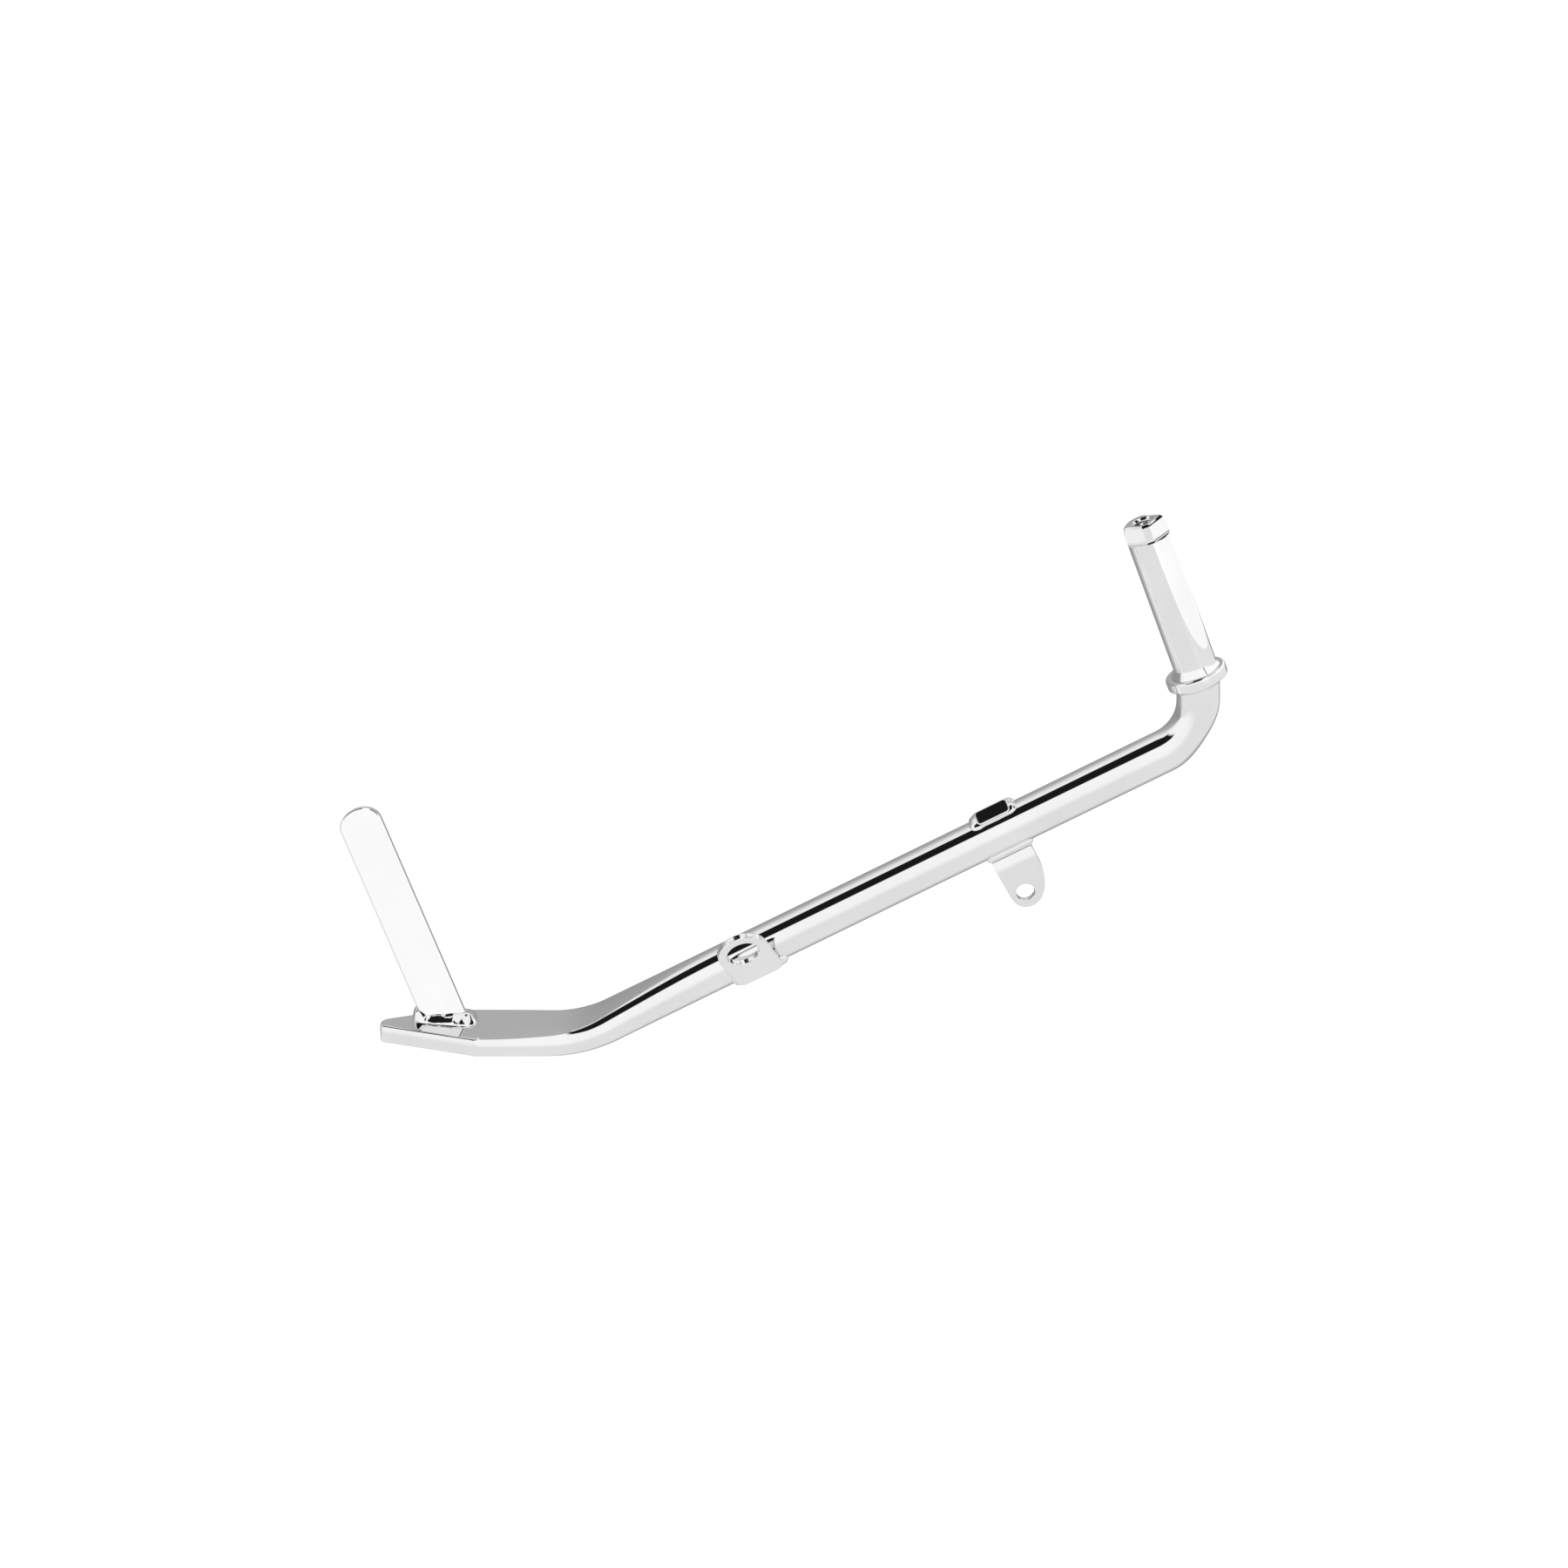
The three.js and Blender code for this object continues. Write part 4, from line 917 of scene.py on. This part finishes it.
def curve(a, b, c, d, steps):
    """Points on a cubic curve from a to d."""
    a, b, c, d = map(Vector, (a, b, c, d))
    return [tuple(a * (1 - t) ** 3 + b * 3 * t * (1 - t) ** 2 + c * 3 * t * t * (1 - t) + d * t ** 3)
            for t in [i / steps for i in range(steps + 1)]]


def make_tab():
    """A bent strip, trimmed to the tab's outline as it is seen square on to its hanging face."""
    profile = tab_profile()
    count = len(profile)
    verts = [BAR_FRAME @ Vector((x, -p.x, p.y))
             for x in (TAB_LEFT - TAB_SPARE, TAB_RIGHT + TAB_SPARE) for p in profile]
    faces = [tuple(range(count)), tuple(reversed(range(count, 2 * count)))]
    faces += [((i + 1) % count, i, count + i, count + (i + 1) % count) for i in range(count)]
    piece = add_piece("chrome_spring_tab", verts, faces, "plate_chrome", "spring_tab")
    lean = BAR_FRAME @ Matrix.Rotation(TAB_LEAN, 4, "X")
    above = 20
    tip = (TAB_HOLE_ALONG, -TAB_DROP)
    outline = [(TAB_RIGHT, above), (TAB_LEFT, above)]
    start, pull, end_pull = TAB_LEFT_TURN
    outline += curve((TAB_LEFT, -start), (TAB_LEFT, -start - pull),
                     (TAB_HOLE_ALONG - end_pull, -TAB_DROP), tip, 30)
    start, pull, end_pull = TAB_RIGHT_TURN
    outline += curve(tip, (TAB_HOLE_ALONG + end_pull, -TAB_DROP),
                     (TAB_RIGHT, -start - pull), (TAB_RIGHT, -start), 40)[1:]
    shape = prism_cutter(outline, lean)
    cut_with(piece, shape, "INTERSECT")
    hole = hole_cutter(TAB_HOLE_ALONG, -TAB_HOLE_DROP, TAB_HOLE_RADIUS, lean, steps=72)
    finish_plate(piece, [hole], TAB_EDGE)
    bpy.data.objects.remove(shape)


def make_lug():
    """The lug, whose lower part is inside the bar."""
    tilt = BAR_FRAME @ Matrix.Rotation(-LUG_TILT, 4, "X")
    half = LUG_LENGTH / 2
    outline = rounded_rectangle(LUG_ALONG - half, LUG_ALONG + half,
                                LUG_NEAR_EDGE, LUG_NEAR_EDGE + LUG_WIDTH, LUG_CORNER, steps=10)
    verts, faces = prism(outline, -BAR_RADIUS - LUG_HEIGHT, -BAR_RADIUS / 2, tilt)
    piece = add_piece("chrome_stop_lug", verts, faces, "plate_chrome", "stop_lug")
    finish_plate(piece, [], LUG_EDGE)


make_leg_bar()
make_spindle()
make_collar()
make_upper_weld()
make_lower_weld()
make_strap()
make_strap_weld()
make_bracket()
make_bracket_weld()
make_tab()
make_tab_weld()
make_lug()
make_lug_weld()


# ---------------------------------------------------------------- camera, floor and light

low, high = CAD_BOX
middle = (low + high) / 2
# the camera looks at a point a little off the middle of the solids
AIM_RIGHT = 0.00411
AIM_UP = 0.00133
TARGET = Vector((middle.x + AIM_RIGHT, 0, middle.z + AIM_UP))
CAMERA_HEIGHT = math.radians(21.48)
CAMERA_DISTANCE = 1.5
camera_data = bpy.data.cameras.new("camera")
camera_data.sensor_width = 36
camera_data.lens = 77.9
camera = bpy.data.objects.new("camera", camera_data)
camera.location = TARGET + CAMERA_DISTANCE * Vector((0, -math.cos(CAMERA_HEIGHT), math.sin(CAMERA_HEIGHT)))
camera.rotation_euler = (math.pi / 2 - CAMERA_HEIGHT, 0, 0)
bpy.context.scene.collection.objects.link(camera)
bpy.context.scene.camera = camera
bpy.context.scene.view_settings.view_transform = "Standard"


def stage_plane(name, corners, grey, glow):
    """A plane of the stage that shines by itself, with its shader for further settings."""
    data = bpy.data.meshes.new(name)
    data.from_pydata(corners, [], [(0, 1, 2, 3)])
    plane = bpy.data.objects.new(name, data)
    bpy.context.scene.collection.objects.link(plane)
    material = bpy.data.materials.new(name)
    material.use_nodes = True
    shader = material.node_tree.nodes["Principled BSDF"]
    shader.inputs["Base Color"].default_value = (grey, grey, grey, 1)
    shader.inputs["Emission Color"].default_value = (1, 1, 1, 1)
    shader.inputs["Emission Strength"].default_value = glow
    data.materials.append(material)
    return plane, shader


# floor: evenly lit and nearly white, and left out of the chrome's reflections
FLOOR_HALF = 14
floor_z = low.z - 0.0002
floor, floor_shader = stage_plane(
    "floor",
    [(-FLOOR_HALF, -FLOOR_HALF, floor_z), (FLOOR_HALF, -FLOOR_HALF, floor_z),
     (FLOOR_HALF, FLOOR_HALF, floor_z), (-FLOOR_HALF, FLOOR_HALF, floor_z)],
    grey=0.3, glow=0.9)
floor_shader.inputs["Roughness"].default_value = 1
floor_shader.inputs["Specular IOR Level"].default_value = 0
floor.visible_glossy = False

# a small soft box close to the spindle's right, seen only in the chrome
BOX_X = 0.035
BOX_FRONT, BOX_BACK = -0.3, 0.25
BOX_LOW, BOX_HIGH = 0.0125, 0.085
side_box, _ = stage_plane(
    "side_box",
    [(BOX_X, BOX_FRONT, BOX_LOW), (BOX_X, BOX_BACK, BOX_LOW),
     (BOX_X, BOX_BACK, BOX_HIGH), (BOX_X, BOX_FRONT, BOX_HIGH)],
    grey=0, glow=1.22)
side_box.visible_camera = False
side_box.visible_shadow = False

# studio: soft boxes in front and behind with a dark gap overhead, and paler grey below
world = bpy.data.worlds.new("studio")
bpy.context.scene.world = world
world.use_nodes = True
tree = world.node_tree
sky = tree.nodes["Background"]
toward = node(tree, "ShaderNodeTexCoord").outputs["Generated"]
split = node(tree, "ShaderNodeSeparateXYZ")
tree.links.new(toward, split.inputs["Vector"])


def maths(operation, *values):
    """One sum on numbers or on other nodes' outputs."""
    made = node(tree, "ShaderNodeMath", operation=operation)
    for i, value in enumerate(values):
        if isinstance(value, (int, float)):
            made.inputs[i].default_value = value
        else:
            tree.links.new(value, made.inputs[i])
    return made.outputs[0]


def slice_of(component, stops):
    """A ramp along one component of the direction, with its stops given from -1 to 1."""
    half = maths("MULTIPLY_ADD", split.outputs[component], 0.5, 0.5)
    return ramp(tree, half, [(at / 2 + 0.5, value) for at, value in stops])


def layer(factor, under, over):
    """One colour or grey over another, as far as the factor says."""
    made = node(tree, "ShaderNodeMix", data_type="RGBA")
    tree.links.new(factor, made.inputs["Factor"])
    for socket, value in ((made.inputs[6], under), (made.inputs[7], over)):
        if isinstance(value, (int, float)):
            socket.default_value = (value, value, value, 1)
        else:
            tree.links.new(value, socket)
    return made.outputs[2]


# the turn about X of a direction: 0 is the horizon in front, 90 is overhead and -90 is below. The
# boxes droop a little towards the left.
ahead = maths("MULTIPLY", split.outputs["Y"], -1)
turn = maths("ARCTAN2", split.outputs["Z"], ahead)
droop = slice_of("X", [(at, degrees / 360) for at, degrees in (
    (-0.70, 14), (-0.62, 10), (-0.5, 7), (-0.3, 6), (-0.2, 0))])
round_turn = maths("ADD", maths("MULTIPLY_ADD", turn, 1 / (2 * math.pi), 0.5), droop)


def around(stops):
    """A ramp round the turn, with its stops in degrees from -180 to 180."""
    return ramp(tree, round_turn, [((degrees + 180) / 360, value) for degrees, value in stops])


bands = around([
    (-180, 0.36), (-150, 0.36), (-130, 0.42), (-110, 0.72), (-93, 0.97), (-16, 0.97), (2, 1.18),
    (55, 1.2), (62, 1.16), (100, 1.16), (109, 1.14), (128, 1.0), (155, 0.52), (180, 0.4)])
right_side = slice_of("X", [(0.56, 0), (0.72, 1)])
right_panel = slice_of("Z", [(-0.14, 0.97), (0.05, 1.0), (0.2, 1.2), (0.6, 1.2)])
overhead = around([(54, 0), (57, 1), (104, 1), (107, 0)])
gap_sides = slice_of("X", [
    (-0.84, 0), (-0.78, 1), (-0.19, 1), (-0.13, 0), (0.14, 0), (0.22, 1), (0.74, 1), (0.82, 0)])
below = around([(-92, 0), (-87, 1), (-70, 1), (-65, 0)])
far_left = slice_of("X", [(-0.88, 0), (-0.84, 1), (-0.68, 1), (-0.64, 0)])
GAP_GREY = 0.012
LOW_BOX_GREY = 1.25
sky_colour = layer(right_side, bands, right_panel)
sky_colour = layer(maths("MULTIPLY", overhead, gap_sides), sky_colour, GAP_GREY)
sky_colour = layer(maths("MULTIPLY", far_left, below), sky_colour, LOW_BOX_GREY)
tree.links.new(sky_colour, sky.inputs["Color"])
